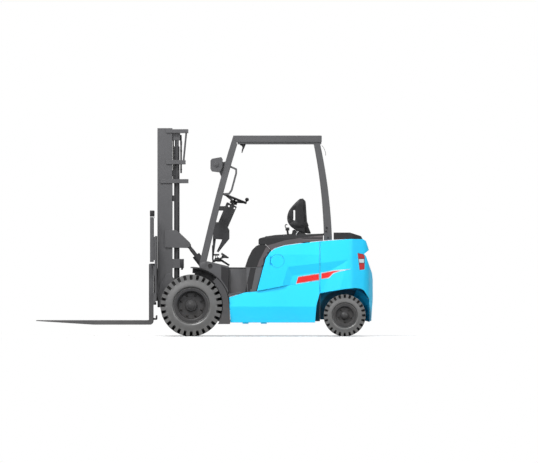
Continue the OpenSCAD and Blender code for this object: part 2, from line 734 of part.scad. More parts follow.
// Tilt cylinders and their rods along the line of the two pins
tilt_base = [-tilt_base_x, tilt_base_z];
tilt_line = unit([tilt_pin_x, tilt_pin_z] - tilt_base);
tilt_length = norm([tilt_pin_x, tilt_pin_z] - tilt_base);
tilt_barrel = 388;
function on_tilt(d) = tilt_base + d * tilt_line;
module tilt_barrels() {
    color(dark) rig() pair() difference() {
        union() {
            rod(on_tilt(52), on_tilt(tilt_barrel), tilt_y, tilt_r);
            rod(on_tilt(20), on_tilt(54), tilt_y, 18);
            bar_y(-tilt_base_x, tilt_base_z, 34, tilt_y - 20, tilt_y + 20);
        }
        bar_y(-tilt_base_x, tilt_base_z, tilt_pin_r + running, tilt_y - 60, tilt_y + 60);
        rod(on_tilt(90), on_tilt(tilt_barrel + 10), tilt_y, tilt_rod_r + running);
    }
}

eye_half = 10;
module tilt_rods() {
    lean = atan2(tilt_line.x, tilt_line.y);
    neck = 52;
    color([0.75, 0.75, 0.77]) rig() pair() difference() {
        union() {
            rod(on_tilt(170), on_tilt(tilt_length - neck), tilt_y, tilt_rod_r);
            translate([tilt_pin_x, tilt_y, tilt_pin_z]) rotate([0, lean, 0]) {
                translate([-17, -eye_half, -neck - 2]) cube([34, 2 * eye_half, neck]);
                translate([0, eye_half, 0]) rotate([90, 0, 0]) cylinder(r = 28, h = 2 * eye_half);
            }
        }
        bar_y(tilt_pin_x, tilt_pin_z, tilt_pin_r + eye_play, tilt_y - 60, tilt_y + 60);
    }
}

// Outer mast: rails with their supports on the axle tube
function channel(y0, y1) = [
    [rail_back, y0], [rail_back + flange, y0], [rail_back + flange, y1 - web], [rail_front - flange,
        y1 - web],
    [rail_front - flange, y0], [rail_front, y0], [rail_front, y1], [rail_back, y1]
];
module outer_rails() {
    color(grey) rig() pair() difference() {
        union() {
            translate([0, 0, rail_foot]) linear_extrude(mast_height - rail_foot) polygon(channel(tip_y,
                mast_half));
            slab(rounded([[rail_front - 40, rail_foot + 2], [rail_front - 4, rail_foot + 44],
                [rail_front - 30, 560, 20],
                [rail_back + 20, 720, 30], [rail_back + 2, 640], [30, front_r + 100], [0, front_r + 105],
                [-100, front_r + 30, 60], [-100, front_r - 70, 60], [0, front_r - 108, 60], [120,
                    rail_foot - 30, 40]]),
                mast_half - 1, mast_half + 26);
            bar_y(0, front_r, 105, mast_half - 1, mast_half + 32);
            box([lift_x - lift_r, lift_y - lift_r, 372], [rail_back + 2, mast_half - 1, 394]);
        }
        bar_y(0, front_r, axle_r + running, mast_half - 40, mast_half + 60);
        translate([rail_front, 0, rail_foot + 42]) rotate([0, 45, 0]) translate([0, 0, -200])
            box([-4, mast_half - 120, -200], [200, mast_half + 60, 200]);
    }
}

// Ties behind the rails, tilt lugs and chain anchors
module tie(z0, z1, x0, x1) {
    box([x0, -mast_half - 12, z0], [x0 + 36, mast_half + 12, z1]);
    pair() box([x0, mast_half + rest_gap / 3, z0], [x1, mast_half + 12, z1]);
}
lug_web_x = lift_x - lift_r - 12;
lug_low = 955;
lug_top = 1143;
function lug_slope(x) = min(lug_top, 1009 + (x - 19) * 0.95);
module tilt_lug(root_x, y0, y1)
    slab(rounded([[root_x, lug_slope(root_x)], [min(root_x - 1, 160), lug_slope(min(root_x - 1, 160)),
        10], [19, 1009, 12],
                  [8, 970, 12], [45, lug_low - 5, 12], [root_x, lug_low]]), y0, y1);
tie_low = mast_height - 584;
chain_y = inner_tip * 0.52;
module outer_ties() {
    color(grey) rig() {
        tie(mast_height - 43, mast_height - 4, rail_back - 171, rail_back + 65);
        tie(mast_height - 380, mast_height - 337, rail_back - 142, rail_back + 65);
        tie(tie_low, tie_low + 43, rail_back - 172, rail_back + 129);
        box([83, -mast_half + 1, 735], [119, mast_half - 1, 832]);
        pair() {
            rod([56, mast_height - 38], [85, mast_height - 343], mast_half - 20, 8);
            box([84, mast_half - 16, 735], [rail_back - rest_gap / 3, mast_half - 1, 832]);
            box([60, chain_y - 14, tie_low + 6], [rail_back - 6, chain_y + 14, tie_low + 36]);
            tilt_lug(lug_web_x, tilt_y - 27, tilt_y - 13);
            tilt_lug(rail_back + 79, mast_half + rest_gap / 3, mast_half + 14);
            box([lug_web_x - 22, tilt_y - 27, lug_low], [lug_web_x, mast_half + 1, lug_low + 100]);
            bar_y(tilt_pin_x, tilt_pin_z, tilt_pin_r, tilt_y - 26, mast_half + 13);
        }
    }
}

lift_foot = 394 + rest_gap;
lift_head = mast_height - 188;
rod_top = mast_height - 121;
rod_hold = 75;
module lift_barrels() {
    color(dark) rig() pair() difference() {
        union() {
            translate([lift_x, lift_y, lift_foot]) cylinder(r = lift_r, h = lift_head - lift_foot);
            for (z = [mast_height - 778, mast_height - 508]) box([lift_x - 24, lift_y - 20, z],
                [rail_back - rest_gap, lift_y + 20, z + 62]);
        }
        translate([lift_x, lift_y, lift_foot + 12]) cylinder(r = lift_rod_r + running, h = lift_head);
    }
}

// Inner mast: rails with foot rollers, ties and sheave cheeks
inner_top = mast_height + inner_rise;
inner_foot = 312;
sheave_x = 245;
sheave_z = inner_top - 92;
sheave_r = 50;
module inner_rails() {
    color(grey) rig() pair() {
        translate([0, 0, inner_foot]) linear_extrude(inner_top - inner_foot) polygon(channel(inner_tip,
            inner_half));
        bar_y(roller_x, 400, roller_r, inner_half + 5, mast_half - web - 6);
        bar_y(roller_x, 400, 24, inner_half - 2, inner_half + 6);
    }
}

module inner_ties() {
    z = sheave_z;
    color(grey) rig() {
        for (s = [[inner_top - 34, inner_top], [z - 122, z - 62], [inner_top * 0.527, inner_top * 0.558],
            [470, 560]])
            box([rail_back + rest_gap, -inner_tip + rest_gap, s[0]], [rail_back + 16,
                inner_tip - rest_gap, s[1]]);
        pair() {
            for (y = [chain_y - 24, chain_y + 15])
                box([rail_back + 2, y, z - 70], [sheave_x + 14, y + 9, inner_top - 20]);
            bar_y(sheave_x, z, 11, chain_y - 20, chain_y + 20);
            box([lift_x - 36, inner_tip + 10, rod_top], [rail_back - rest_gap, lift_y + 24, rod_top + 74]);
        }
    }
}

module lift_rods() {
    foot = lift_head - lift_stroke - rod_hold;
    color([0.75, 0.75, 0.77]) rig() pair()
        translate([lift_x, lift_y, foot]) cylinder(r = lift_rod_r, h = rod_top - rest_gap - foot);
}

module sheaves() {
    color(dark) rig() pair()
        translate([sheave_x, chain_y + 13, sheave_z]) rotate([90, 0, 0]) rotate_extrude()
            polygon([[11 + running, 0], [sheave_r + 6, 0], [sheave_r + 6, 4], [sheave_r - 6, 5],
                [sheave_r - 6, 21],
                     [sheave_r + 6, 22], [sheave_r + 6, 26], [11 + running, 26]]);
}

// Lift chains over the sheaves, from the outer mast to the carriage
chain_t = 12;
anchor_z = 500;
module chains() {
    front = sheave_x + sheave_r;
    back = sheave_x - sheave_r;
    color(dark) rig() pair() {
        box([front - chain_t / 2, chain_y - 7, anchor_z + 12], [front + chain_t / 2, chain_y + 7, sheave_z]);
        box([back - chain_t / 2, chain_y - 7, tie_low + 36 + rest_gap], [back + chain_t / 2, chain_y + 7,
            sheave_z]);
        translate([sheave_x, chain_y + 7, sheave_z]) rotate([90, 0, 0]) linear_extrude(14) intersection() {
            difference() {
                circle(r = sheave_r + chain_t / 2);
                circle(r = sheave_r - chain_t / 2);
            }
            translate([-100, 0]) square([200, 100]);
        }
    }
}

// Fork carriage: two bars, roller plates and end plates
bar_front = shank_back - 2;
bar_back = bar_front - bar_t;
bar_top = bar_bottom + bar_span;
lip = 15;
bar_height = 110;
module carriage() {
    cw = carriage_w / 2;
    color(grey) rig() {
        slab([[bar_back, bar_top - bar_height], [bar_back, bar_top - 22], [bar_front - lip, bar_top - 22],
              [bar_front - lip, bar_top], [bar_front, bar_top], [bar_front, bar_top - bar_height]], -cw, cw);
        slab([[bar_back, bar_bottom + bar_height], [bar_back, bar_bottom + 22], [bar_front - lip,
            bar_bottom + 22],
              [bar_front - lip, bar_bottom], [bar_front, bar_bottom], [bar_front,
                  bar_bottom + bar_height]], -cw, cw);
        pair() {
            box([bar_back - 6, cw - 20, bar_bottom + 30], [bar_front - lip - 1, cw, 1079]);
            box([bar_back, inner_tip - 27, bar_bottom + 40], [bar_front - 3, inner_tip - 9, bar_top - 40]);
            box([roller_x - 36, inner_tip - 27, 380], [bar_back + 1, inner_tip - 9, 730]);
            for (z = [440, 672]) {
                bar_y(roller_x, z, roller_r, inner_tip + 3, inner_half - web - 5);
                bar_y(roller_x, z, 24, inner_tip - 10, inner_tip + 4);
            }
        }
        box([sheave_x + sheave_r - 14, -inner_tip + 26, anchor_z - 34], [sheave_x + sheave_r + 14,
            inner_tip - 26, anchor_z + 6]);
    }
}

// Load backrest above the bars
module load_backrest() {
    x0 = bar_front + rest_gap;
    x1 = x0 + 34;
    cw = carriage_w / 2;
    z0 = bar_top + 40;
    color(grey) rig() {
        pair() box([x0, cw - 24, z0], [x1, cw, backrest_top - 70]);
        pair() box([bar_front - lip - rest_gap, cw - 20, z0 + 20], [x0 + 2, cw - 4, 1070]);
        box([x0, -cw, backrest_top - 64], [x1, cw, backrest_top]);
        box([x0, -cw, z0], [x1, cw, z0 + 34]);
        for (i = [-4 : 4])
            box([x0 + 8, i * cw / 4.6 - 9, z0 + 33], [x1 - 8, i * cw / 4.6 + 9, backrest_top - 63]);
        pair() box([x0 + 6, cw - 20, backrest_top - 71], [x1 - 6, cw - 4, backrest_top - 60]);
    }
}

// A fork: hooked shank, heel and tapered blade
module fork(y) {
    top = fork_bottom + fork_t;
    tip = shank_face + fork_length;
    hook = bar_back + 2;
    profile = rounded([
        [shank_back, fork_bottom, 34], [shank_face + 597, fork_bottom, 300], [tip - 30, top - 8], [tip,
            top - 6, 3],
        [tip - 6, top, 3], [shank_face, top, 12], [shank_face, bar_top + 22, 12], [hook, bar_top + 22, 8],
        [hook, bar_top - 14], [bar_front - lip - 1.5, bar_top - 14], [bar_front - lip - 1.5,
            bar_top + rest_gap],
        [shank_back, bar_top + rest_gap], [shank_back, bar_bottom - rest_gap], [bar_front - lip - 1.5,
            bar_bottom - rest_gap],
        [bar_front - lip - 1.5, bar_bottom + 12], [hook, bar_bottom + 12], [hook, bar_bottom - 14],
            [shank_back, bar_bottom - 14]
    ]);
    plan = rounded([
        [hook - 50, -fork_w / 2], [tip - 320, -fork_w / 2], [tip, -fork_w / 4, 26], [tip, fork_w / 4, 26],
        [tip - 320, fork_w / 2], [hook - 50, fork_w / 2]
    ]);
    translate([0, y, 0]) {
        intersection() {
            slab(profile, -fork_w / 2, fork_w / 2);
            linear_extrude(bar_top + 100) polygon(plan);
        }
        slab(rounded([[shank_back + 2, 176, 4], [shank_back + 2, 196], [shank_back - 26, 192],
            [shank_back - 28, 224, 3],
                      [shank_back - 42, 224, 3], [shank_back - 42, 176, 8]]), -9, 9);
    }
}
module fork_left() color(grey) rig() fork(fork_spread / 2);
module fork_right() color(grey) rig() fork(-fork_spread / 2);

// A tyre round the y axis: a faceted carcass with a row of lugs on each shoulder
bead_part = 0.4;
lug_part = 0.475;
module tyre(d, w, seat_d, lugs) {
    r = d / 2;
    gap_r = r - lug_depth * d / front_tyre_d;
    core_r = gap_r - 6;
    seat_r = seat_d / 2 / cos(180 / lugs);
    wall_r = (r + seat_d / 2) / 2;
    bead = w * bead_part;
    bead_top = seat_r + 26;
    shoulder = w * (lug_part - 0.015);
    rings = [
        [seat_r, -bead], [bead_top, -bead], [wall_r, -w / 2], [core_r, -shoulder],
        [core_r, shoulder], [wall_r, w / 2], [bead_top, bead], [seat_r, bead]
    ];
    k = len(rings);
    points = [for (i = [0 : lugs - 1]) for (q = rings) let (a = 360 * i / lugs) [q.x * cos(a), q.y,
        q.x * sin(a)]];
    faces = [for (i = [0 : lugs - 1]) for (j = [0 : k - 1])
        let (a = i * k, b = (i + 1) % lugs * k, n = (j + 1) % k) [a + j, b + j, b + n, a + n]];
    polyhedron(points, faces);
    rotate([90, 0, 0]) linear_extrude(w * lug_part) lug_row(r, gap_r, wall_r, lugs);
    rotate([-90, 0, 0]) linear_extrude(w * lug_part) rotate(180 / lugs) lug_row(r, gap_r, wall_r, lugs);
}

// Section through one row of lugs on its ring
module lug_row(r, gap_r, ring_r, lugs) {
    pitch = 360 / lugs;
    root_a = pitch * 0.31;
    tip_a = pitch * 0.27;
    difference() {
        polygon([for (i = [0 : lugs - 1])
            each [for (q = [[gap_r, -root_a], [r, -tip_a], [r, tip_a], [gap_r, root_a]])
                q[0] * [cos(i * pitch + q[1]), sin(i * pitch + q[1])]]]);
        polygon([for (i = [0 : lugs - 1]) (ring_r + 3) * [cos(i * pitch), sin(i * pitch)]]);
    }
}

// A rim with its disc towards the outside
module rim(seat_d, w, disc, hub_r, bore_r, hub_in, hub_out) {
    s = seat_d / 2 - rest_gap;
    e = w * bead_part + rest_gap;
    rotate([-90, 0, 0]) rotate_extrude($fn = 96) polygon([
        [s, -e], [s + 20, -e], [s + 20, -e - 7], [s - 6, -e - 7], [s - 12, -e], [s - 12, disc - 8],
        [hub_r, disc - 8], [hub_r, hub_in], [bore_r, hub_in], [bore_r, hub_out], [hub_r, hub_out],
            [hub_r + 4, disc + 6],
        [s - 20, disc + 6], [s - 12, disc + 10], [s - 12, e], [s - 6, e + 7], [s + 20, e + 7], [s + 20,
            e], [s, e]
    ]);
}

module front_tyre_left() color(dark) rig() translate([0, front_y, front_r])
    tyre(front_tyre_d, front_tyre_w, front_rim_d, front_lugs);
module front_tyre_right() mirror([0, 1, 0]) front_tyre_left();
module front_rim_left() color(black) rig() translate([0, front_y, front_r])
    rim(front_rim_d, front_tyre_w, 20, 62, spindle_r + running, -60, 44);
module front_rim_right() mirror([0, 1, 0]) front_rim_left();

module rear_tyre_left() color(dark) rig() translate([rear_x, rear_y, rear_r])
    tyre(rear_tyre_d, rear_tyre_w, rear_rim_d, rear_lugs);
module rear_tyre_right() mirror([0, 1, 0]) rear_tyre_left();
module rear_rim_left() color(black) rig() translate([rear_x, rear_y, rear_r])
    rim(rear_rim_d, rear_tyre_w, 28, 44, 22 + running, -8, 52);
module rear_rim_right() mirror([0, 1, 0]) rear_rim_left();

// Steer axle: a beam with narrow necks to the kingpins, hung from the counterweight
module steer_axle() {
    z = rear_r;
    beam_y = kingpin_y * 0.36;
    neck_y = kingpin_y - 115;
    color(dark) rig() translate([rear_x, 0, 0]) {
        difference() {
            union() {
                translate([0, 0, z - 48]) linear_extrude(96) polygon([
                    [-85, -beam_y], [-85, beam_y], [-28, neck_y], [-28, kingpin_y - 20], [28,
                        kingpin_y - 20], [28, neck_y],
                    [85, beam_y], [85, -beam_y], [28, -neck_y], [28, -kingpin_y + 20], [-28,
                        -kingpin_y + 20], [-28, -neck_y]]);
                pair() translate([0, kingpin_y, z - 48]) cylinder(r = 30, h = 96);
            }
            pair() translate([0, kingpin_y, z - 100]) cylinder(r = 16 + running, h = 200);
        }
        for (x = [-121, 100])
            slab([[x, z - 50], [x + 24, z - 50], [x + 24, tunnel_z(x + 24) - rest_gap], [x,
                tunnel_z(x) - rest_gap]],
                 -70, 70);
        translate([-130, 0, z]) rotate([0, 90, 0]) cylinder(r = 28, h = 260);
    }
}

module knuckle_left() {
    z = rear_r;
    color(dark) rig() translate([rear_x, kingpin_y, 0]) {
        translate([0, 0, z - 74]) cylinder(r = 16, h = 148);
        for (s = [z - 74, z + 54]) {
            translate([0, 0, s]) cylinder(r = 28, h = 20);
            translate([-28, 0, s]) cube([56, 50, 20]);
        }
        translate([-28, 36, z - 74]) cube([56, 14, 148]);
        translate([0, 48, z]) rotate([-90, 0, 0]) cylinder(r = 22, h = 64);
    }
}
module knuckle_right() mirror([0, 1, 0]) knuckle_left();

frame();
battery();
drive_axle();
front_fenders();
cowls();
floor_plate();
steps();
front_cover();
side_panels();
charge_flap();
counterweight();
tail_lamps();
tow_coupling();
rear_cover();
guard_front();
guard_rear();
guard_roof();
headlamps();
console();
steering_wheel();
pedals();
hood();
seat_cushion();
seat_back();
hip_restraints();
tilt_barrels();
tilt_rods();
outer_rails();
outer_ties();
lift_barrels();
inner_rails();
inner_ties();
lift_rods();
sheaves();
chains();
carriage();
load_backrest();
fork_left();
fork_right();
front_tyre_left();
front_tyre_right();
front_rim_left();
front_rim_right();
rear_tyre_left();
rear_tyre_right();
rear_rim_left();
rear_rim_right();
steer_axle();
knuckle_left();
knuckle_right();
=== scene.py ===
import math

import bmesh
import bpy
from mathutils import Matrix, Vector
from mathutils.bvhtree import BVHTree


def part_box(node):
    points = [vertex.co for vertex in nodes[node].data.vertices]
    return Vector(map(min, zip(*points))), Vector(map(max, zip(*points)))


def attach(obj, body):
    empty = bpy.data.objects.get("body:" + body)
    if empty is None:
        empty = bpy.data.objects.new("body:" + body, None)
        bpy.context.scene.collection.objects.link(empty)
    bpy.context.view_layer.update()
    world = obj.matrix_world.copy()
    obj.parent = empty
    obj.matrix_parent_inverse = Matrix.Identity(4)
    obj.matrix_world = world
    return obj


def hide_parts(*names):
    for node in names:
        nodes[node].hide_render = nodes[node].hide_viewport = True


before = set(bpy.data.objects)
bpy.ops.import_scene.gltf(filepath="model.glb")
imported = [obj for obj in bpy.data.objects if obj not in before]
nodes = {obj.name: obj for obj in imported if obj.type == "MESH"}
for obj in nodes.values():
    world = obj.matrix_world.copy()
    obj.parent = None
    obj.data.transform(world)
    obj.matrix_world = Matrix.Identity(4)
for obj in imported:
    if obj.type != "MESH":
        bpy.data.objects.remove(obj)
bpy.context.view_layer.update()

# Places in metres, and in millimetres from the front axle and the floor

AXLE_X = 0.1385
FRONT_AXLE_Z = 332
REAR_AXLE_X = -1650
REAR_AXLE_Z = 226
CAMERA_Y = 160.0
CAMERA_X = -0.6975
CAMERA_Z = 1.128
VIEW_WIDTH = 5.783
SENSOR = 36.0
NEAR_SIDE_Y = 0.52
FLOOR_HALF = 60
FLOOR_SEEN = (0.97, 0.97, 0.97, 1)
FLOOR_BOUNCE = (0.3, 0.3, 0.3, 1)
AMBIENT = 0.16


def at(x, y, z):
    """A point from millimetres ahead of the front axle, left of the middle and above the floor."""
    return Vector((x / 1000 + AXLE_X, y / 1000, z / 1000))


def linear(c):
    """One channel of a written colour as light."""
    c = c / 255
    return c / 12.92 if c <= 0.04045 else ((c + 0.055) / 1.055) ** 2.4


def rgb(r, g, b):
    """A written colour, each channel up to 255."""
    return (linear(r), linear(g), linear(b), 1.0)


# Materials

class Graph:
    """A small helper to wire a material's nodes."""

    def __init__(self, name):
        self.material = bpy.data.materials.new(name)
        self.material.use_nodes = True
        self.tree = self.material.node_tree
        self.shader = self.tree.nodes["Principled BSDF"]
        self.coords = self.add("ShaderNodeTexCoord").outputs["Object"]

    def add(self, kind, **values):
        node = self.tree.nodes.new(kind)
        for key, value in values.items():
            setattr(node, key, value)
        return node

    def link(self, a, b):
        self.tree.links.new(a, b)

    def noise(self, scale, detail=4.0, rough=0.55, stretch=None):
        node = self.add("ShaderNodeTexNoise")
        node.inputs["Scale"].default_value = scale
        node.inputs["Detail"].default_value = detail
        node.inputs["Roughness"].default_value = rough
        if stretch is None:
            self.link(self.coords, node.inputs["Vector"])
        else:
            mapping = self.add("ShaderNodeMapping")
            mapping.inputs["Scale"].default_value = stretch
            self.link(self.coords, mapping.inputs["Vector"])
            self.link(mapping.outputs["Vector"], node.inputs["Vector"])
        return node.outputs["Fac"]

    def remap(self, value, low, high, to_low, to_high):
        node = self.add("ShaderNodeMapRange")
        for key, v in zip(("From Min", "From Max", "To Min", "To Max"), (low, high, to_low, to_high)):
            node.inputs[key].default_value = v
        self.link(value, node.inputs["Value"])
        return node.outputs["Result"]

    def maths(self, kind, a, b):
        node = self.add("ShaderNodeMath", operation=kind)
        for socket, v in zip(node.inputs, (a, b)):
            if isinstance(v, (int, float)):
                socket.default_value = v
            else:
                self.link(v, socket)
        return node.outputs["Value"]

    def mix(self, factor, a, b):
        node = self.add("ShaderNodeMix", data_type="RGBA")
        self.link(factor, node.inputs[0])
        for socket, v in ((node.inputs[6], a), (node.inputs[7], b)):
            if isinstance(v, tuple):
                socket.default_value = v
            else:
                self.link(v, socket)
        return node.outputs[2]

    def edges(self, radius, samples=4):
        """A rounded normal and a mask that is high where the surface bends."""
        bevel = self.add("ShaderNodeBevel", samples=samples)
        bevel.inputs["Radius"].default_value = radius
        flat = self.add("ShaderNodeNewGeometry").outputs["Normal"]
        dot = self.add("ShaderNodeVectorMath", operation="DOT_PRODUCT")
        self.link(bevel.outputs["Normal"], dot.inputs[0])
        self.link(flat, dot.inputs[1])
        return bevel.outputs["Normal"], self.remap(dot.outputs["Value"], 0.97, 0.75, 0.0, 1.0)

    def axis(self, name):
        split = self.add("ShaderNodeSeparateXYZ")
        self.link(self.coords, split.inputs["Vector"])
        return split.outputs[name]

    def height(self, low, high):
        """One at the low height, fading to nothing at the high one."""
        return self.remap(self.axis("Z"), low, high, 1.0, 0.0)


def tone(colour, factor):
    """A colour made lighter or darker."""
    return tuple(min(1.0, c * factor) for c in colour[:3]) + (1.0,)


def surface(name, colour, rough, vary=0.12, metal=0.0, coat=0.0, grain=350.0, bump=0.03, patch=2.5,
            edge=None, edge_amount=0.5, round_edge=0.004, dust=None, dust_top=0.5, dust_amount=0.35,
            gloss=0.3, inboard=None, arch=None):
    """A finish with patchy colour, uneven gloss, fine grain, edges lighter as wear and painted highlight,
    dust low down and painted shade inboard.
    """
    g = Graph(name)
    large = g.noise(patch, 5.0, 0.6)
    fine = g.noise(grain, 3.0, 0.6)
    shade = g.mix(g.remap(large, 0.3, 0.7, 0.0, 1.0), tone(colour, 1 - vary), tone(colour, 1 + vary * 0.6))
    normal, bend = g.edges(round_edge)
    # Edges lighter where the surface bends, in patches: partly wear, partly a painted edge highlight
    if edge is not None:
        edge_wear_and_highlight = g.maths("MULTIPLY", bend, g.remap(g.noise(38.0, 6.0, 0.7), 0.42, 0.66, 0.0, edge_amount))
        shade = g.mix(edge_wear_and_highlight, shade, edge)
    if dust is not None:
        low = g.maths("MULTIPLY", g.height(0.0, dust_top),
                      g.remap(g.noise(9.0, 6.0, 0.7), 0.35, 0.75, 0.2, 1.0))
        shade = g.mix(g.maths("MULTIPLY", low, dust_amount), shade, dust)
    # Painted shade: faces nearer the middle than the inboard distance turn a deep blue; where an arch is
    # given, only those inside it
    if inboard is not None:
        painted_inboard_shade = g.remap(g.maths("ABSOLUTE", g.axis("Y"), 0.0), inboard, inboard + 0.01, 1.0, 0.0)
        if arch is not None:
            x, z, reach = arch
            dx = g.maths("SUBTRACT", g.axis("X"), x)
            dz = g.maths("SUBTRACT", g.axis("Z"), z)
            far = g.maths("ADD", g.maths("MULTIPLY", dx, dx), g.maths("MULTIPLY", dz, dz))
            painted_inboard_shade = g.maths("MULTIPLY", painted_inboard_shade, g.remap(far, reach ** 2, (reach + 0.02) ** 2, 1.0, 0.0))
        shade = g.mix(painted_inboard_shade, shade, INBOARD_SHADE)
    g.link(shade, g.shader.inputs["Base Color"])
    g.shader.inputs["Specular IOR Level"].default_value = gloss
    g.link(g.remap(g.noise(14.0, 5.0, 0.65), 0.3, 0.7, rough * 0.85, min(1.0, rough * 1.2)),
           g.shader.inputs["Roughness"])
    g.shader.inputs["Metallic"].default_value = metal
    g.shader.inputs["Coat Weight"].default_value = coat
    g.shader.inputs["Coat Roughness"].default_value = 0.08
    node = g.add("ShaderNodeBump")
    node.inputs["Strength"].default_value = bump
    node.inputs["Distance"].default_value = 0.002
    g.link(fine, node.inputs["Height"])
    g.link(normal, node.inputs["Normal"])
    g.link(node.outputs["Normal"], g.shader.inputs["Normal"])
    return g.material


def leaf_chain(name):
    """Steel leaf plates in rows along the chain, with dark joints between them."""
    g = Graph(name)
    along = g.maths("PINGPONG", g.axis("Z"), 0.0095)
    across = g.maths("PINGPONG", g.axis("Y"), 0.0021)
    plate = g.maths("MULTIPLY", g.remap(along, 0.0008, 0.0026, 0.0, 1.0),
                    g.remap(across, 0.0002, 0.0007, 0.0, 1.0))
    steel = g.mix(g.noise(40.0), rgb(74, 72, 68), rgb(104, 101, 96))
    g.link(g.mix(plate, rgb(22, 21, 20), steel), g.shader.inputs["Base Color"])
    g.link(g.remap(g.noise(60.0), 0.3, 0.7, 0.3, 0.5), g.shader.inputs["Roughness"])
    g.shader.inputs["Metallic"].default_value = 0.7
    node = g.add("ShaderNodeBump")
    node.inputs["Strength"].default_value = 0.7
    node.inputs["Distance"].default_value = 0.002
    g.link(plate, node.inputs["Height"])
    g.link(node.outputs["Normal"], g.shader.inputs["Normal"])
    return g.material


DUST = rgb(150, 142, 130)
BLUE = rgb(40, 206, 255)
# Deep blue painted as shade on inboard faces and inside the rear arch
INBOARD_SHADE = rgb(6, 104, 138)
REAR_ARCH = (AXLE_X + REAR_AXLE_X / 1000, REAR_AXLE_Z / 1000, 0.275)
MATERIALS = {
    "blue_paint": surface("blue_paint", BLUE, 0.36, 0.05, coat=0.1, grain=900.0, bump=0.012, patch=1.2,
                          edge=rgb(150, 244, 255), edge_amount=0.5, round_edge=0.006, dust=DUST,
                          dust_top=0.3, dust_amount=0.12, gloss=0.25, inboard=0.42),
    "blue_casting": surface("blue_casting", BLUE, 0.4, 0.06, coat=0.08, grain=210.0, bump=0.05, patch=1.6,
                            edge=rgb(150, 244, 255), edge_amount=0.5, round_edge=0.01, dust=DUST,
                            dust_top=0.3, dust_amount=0.14, gloss=0.25, inboard=0.42, arch=REAR_ARCH),
    "grey_paint": surface("grey_paint", rgb(75, 75, 77), 0.48, 0.12, coat=0.05, grain=420.0, bump=0.04,
                          patch=3.0,
                          edge=rgb(150, 150, 148), edge_amount=0.4, dust=DUST, dust_top=0.5,
                          dust_amount=0.15),
    "dark_paint": surface("dark_paint", rgb(46, 46, 48), 0.5, 0.16, coat=0.05, grain=420.0, bump=0.04,
                          patch=5.0,
                          edge=rgb(130, 130, 128), edge_amount=0.5, dust=DUST, dust_top=0.5,
                          dust_amount=0.12),
    "cast_steel": surface("cast_steel", rgb(42, 42, 44), 0.6, 0.2, metal=0.2, grain=160.0, bump=0.12,
                          patch=6.0,
                          edge=rgb(110, 108, 104), edge_amount=0.4, dust=DUST, dust_top=0.5,
                          dust_amount=0.2),
    "black_plastic": surface("black_plastic", rgb(28, 28, 30), 0.5, 0.16, grain=700.0, bump=0.09, patch=3.0,
                             edge=rgb(96, 96, 98), edge_amount=0.45, dust=DUST, dust_top=1.2,
                             dust_amount=0.06),
    "grey_plastic": surface("grey_plastic", rgb(66, 66, 68), 0.56, 0.14, grain=600.0, bump=0.1, patch=4.0,
                            edge=rgb(120, 120, 120), edge_amount=0.45, dust=DUST, dust_top=0.6,
                            dust_amount=0.12),
    # Darker rubber on the faces between lugs: painted shade in the grooves
    "tyre_groove_shade": surface("tyre_groove_shade", rgb(48, 48, 48), 0.8, 0.2, grain=260.0, bump=0.1, patch=7.0,
                           gloss=0.1),
    "cowl_plastic": surface("cowl_plastic", rgb(78, 78, 80), 0.55, 0.12, grain=600.0, bump=0.08, patch=4.0,
                            edge=rgb(130, 130, 130), edge_amount=0.4, dust=DUST, dust_top=0.6,
                            dust_amount=0.1),
    "step_plastic": surface("step_plastic", rgb(82, 82, 84), 0.55, 0.12, grain=500.0, bump=0.1, patch=4.0,
                            edge=rgb(130, 130, 130), edge_amount=0.4, dust=DUST, dust_top=0.7,
                            dust_amount=0.12),
    "console_plastic": surface("console_plastic", rgb(50, 50, 52), 0.5, 0.2, grain=600.0, bump=0.08,
                               patch=6.0,
                               edge=rgb(100, 100, 102), edge_amount=0.4),
    "seat_cover": surface("seat_cover", rgb(24, 24, 26), 0.44, 0.18, grain=420.0, bump=0.2, patch=9.0,
                          edge=rgb(78, 78, 80), edge_amount=0.35, round_edge=0.003),
    "tyre_rubber": surface("tyre_rubber", rgb(92, 92, 92), 0.62, 0.16, grain=260.0, bump=0.12, patch=7.0,
                           edge=rgb(140, 140, 138), edge_amount=0.4, round_edge=0.003, dust=DUST,
                           dust_top=0.5, dust_amount=0.1),
    "tyre_wall": surface("tyre_wall", rgb(80, 80, 80), 0.36, 0.1, coat=0.4, grain=500.0, bump=0.03,
                         patch=7.0,
                         round_edge=0.003, dust=DUST, dust_top=0.4, dust_amount=0.08, gloss=0.8),
    "rod_dark": surface("rod_dark", rgb(64, 64, 66), 0.32, 0.15, metal=0.6, coat=0.2, grain=500.0,
                        bump=0.03,
                        patch=12.0, edge=rgb(150, 150, 148), edge_amount=0.4),
    "chain_steel": leaf_chain("chain_steel"),
    "lamp_red": surface("lamp_red", rgb(190, 18, 20), 0.16, 0.15, coat=0.6, grain=90.0, bump=0.05,
                        patch=12.0, gloss=0.5),
}
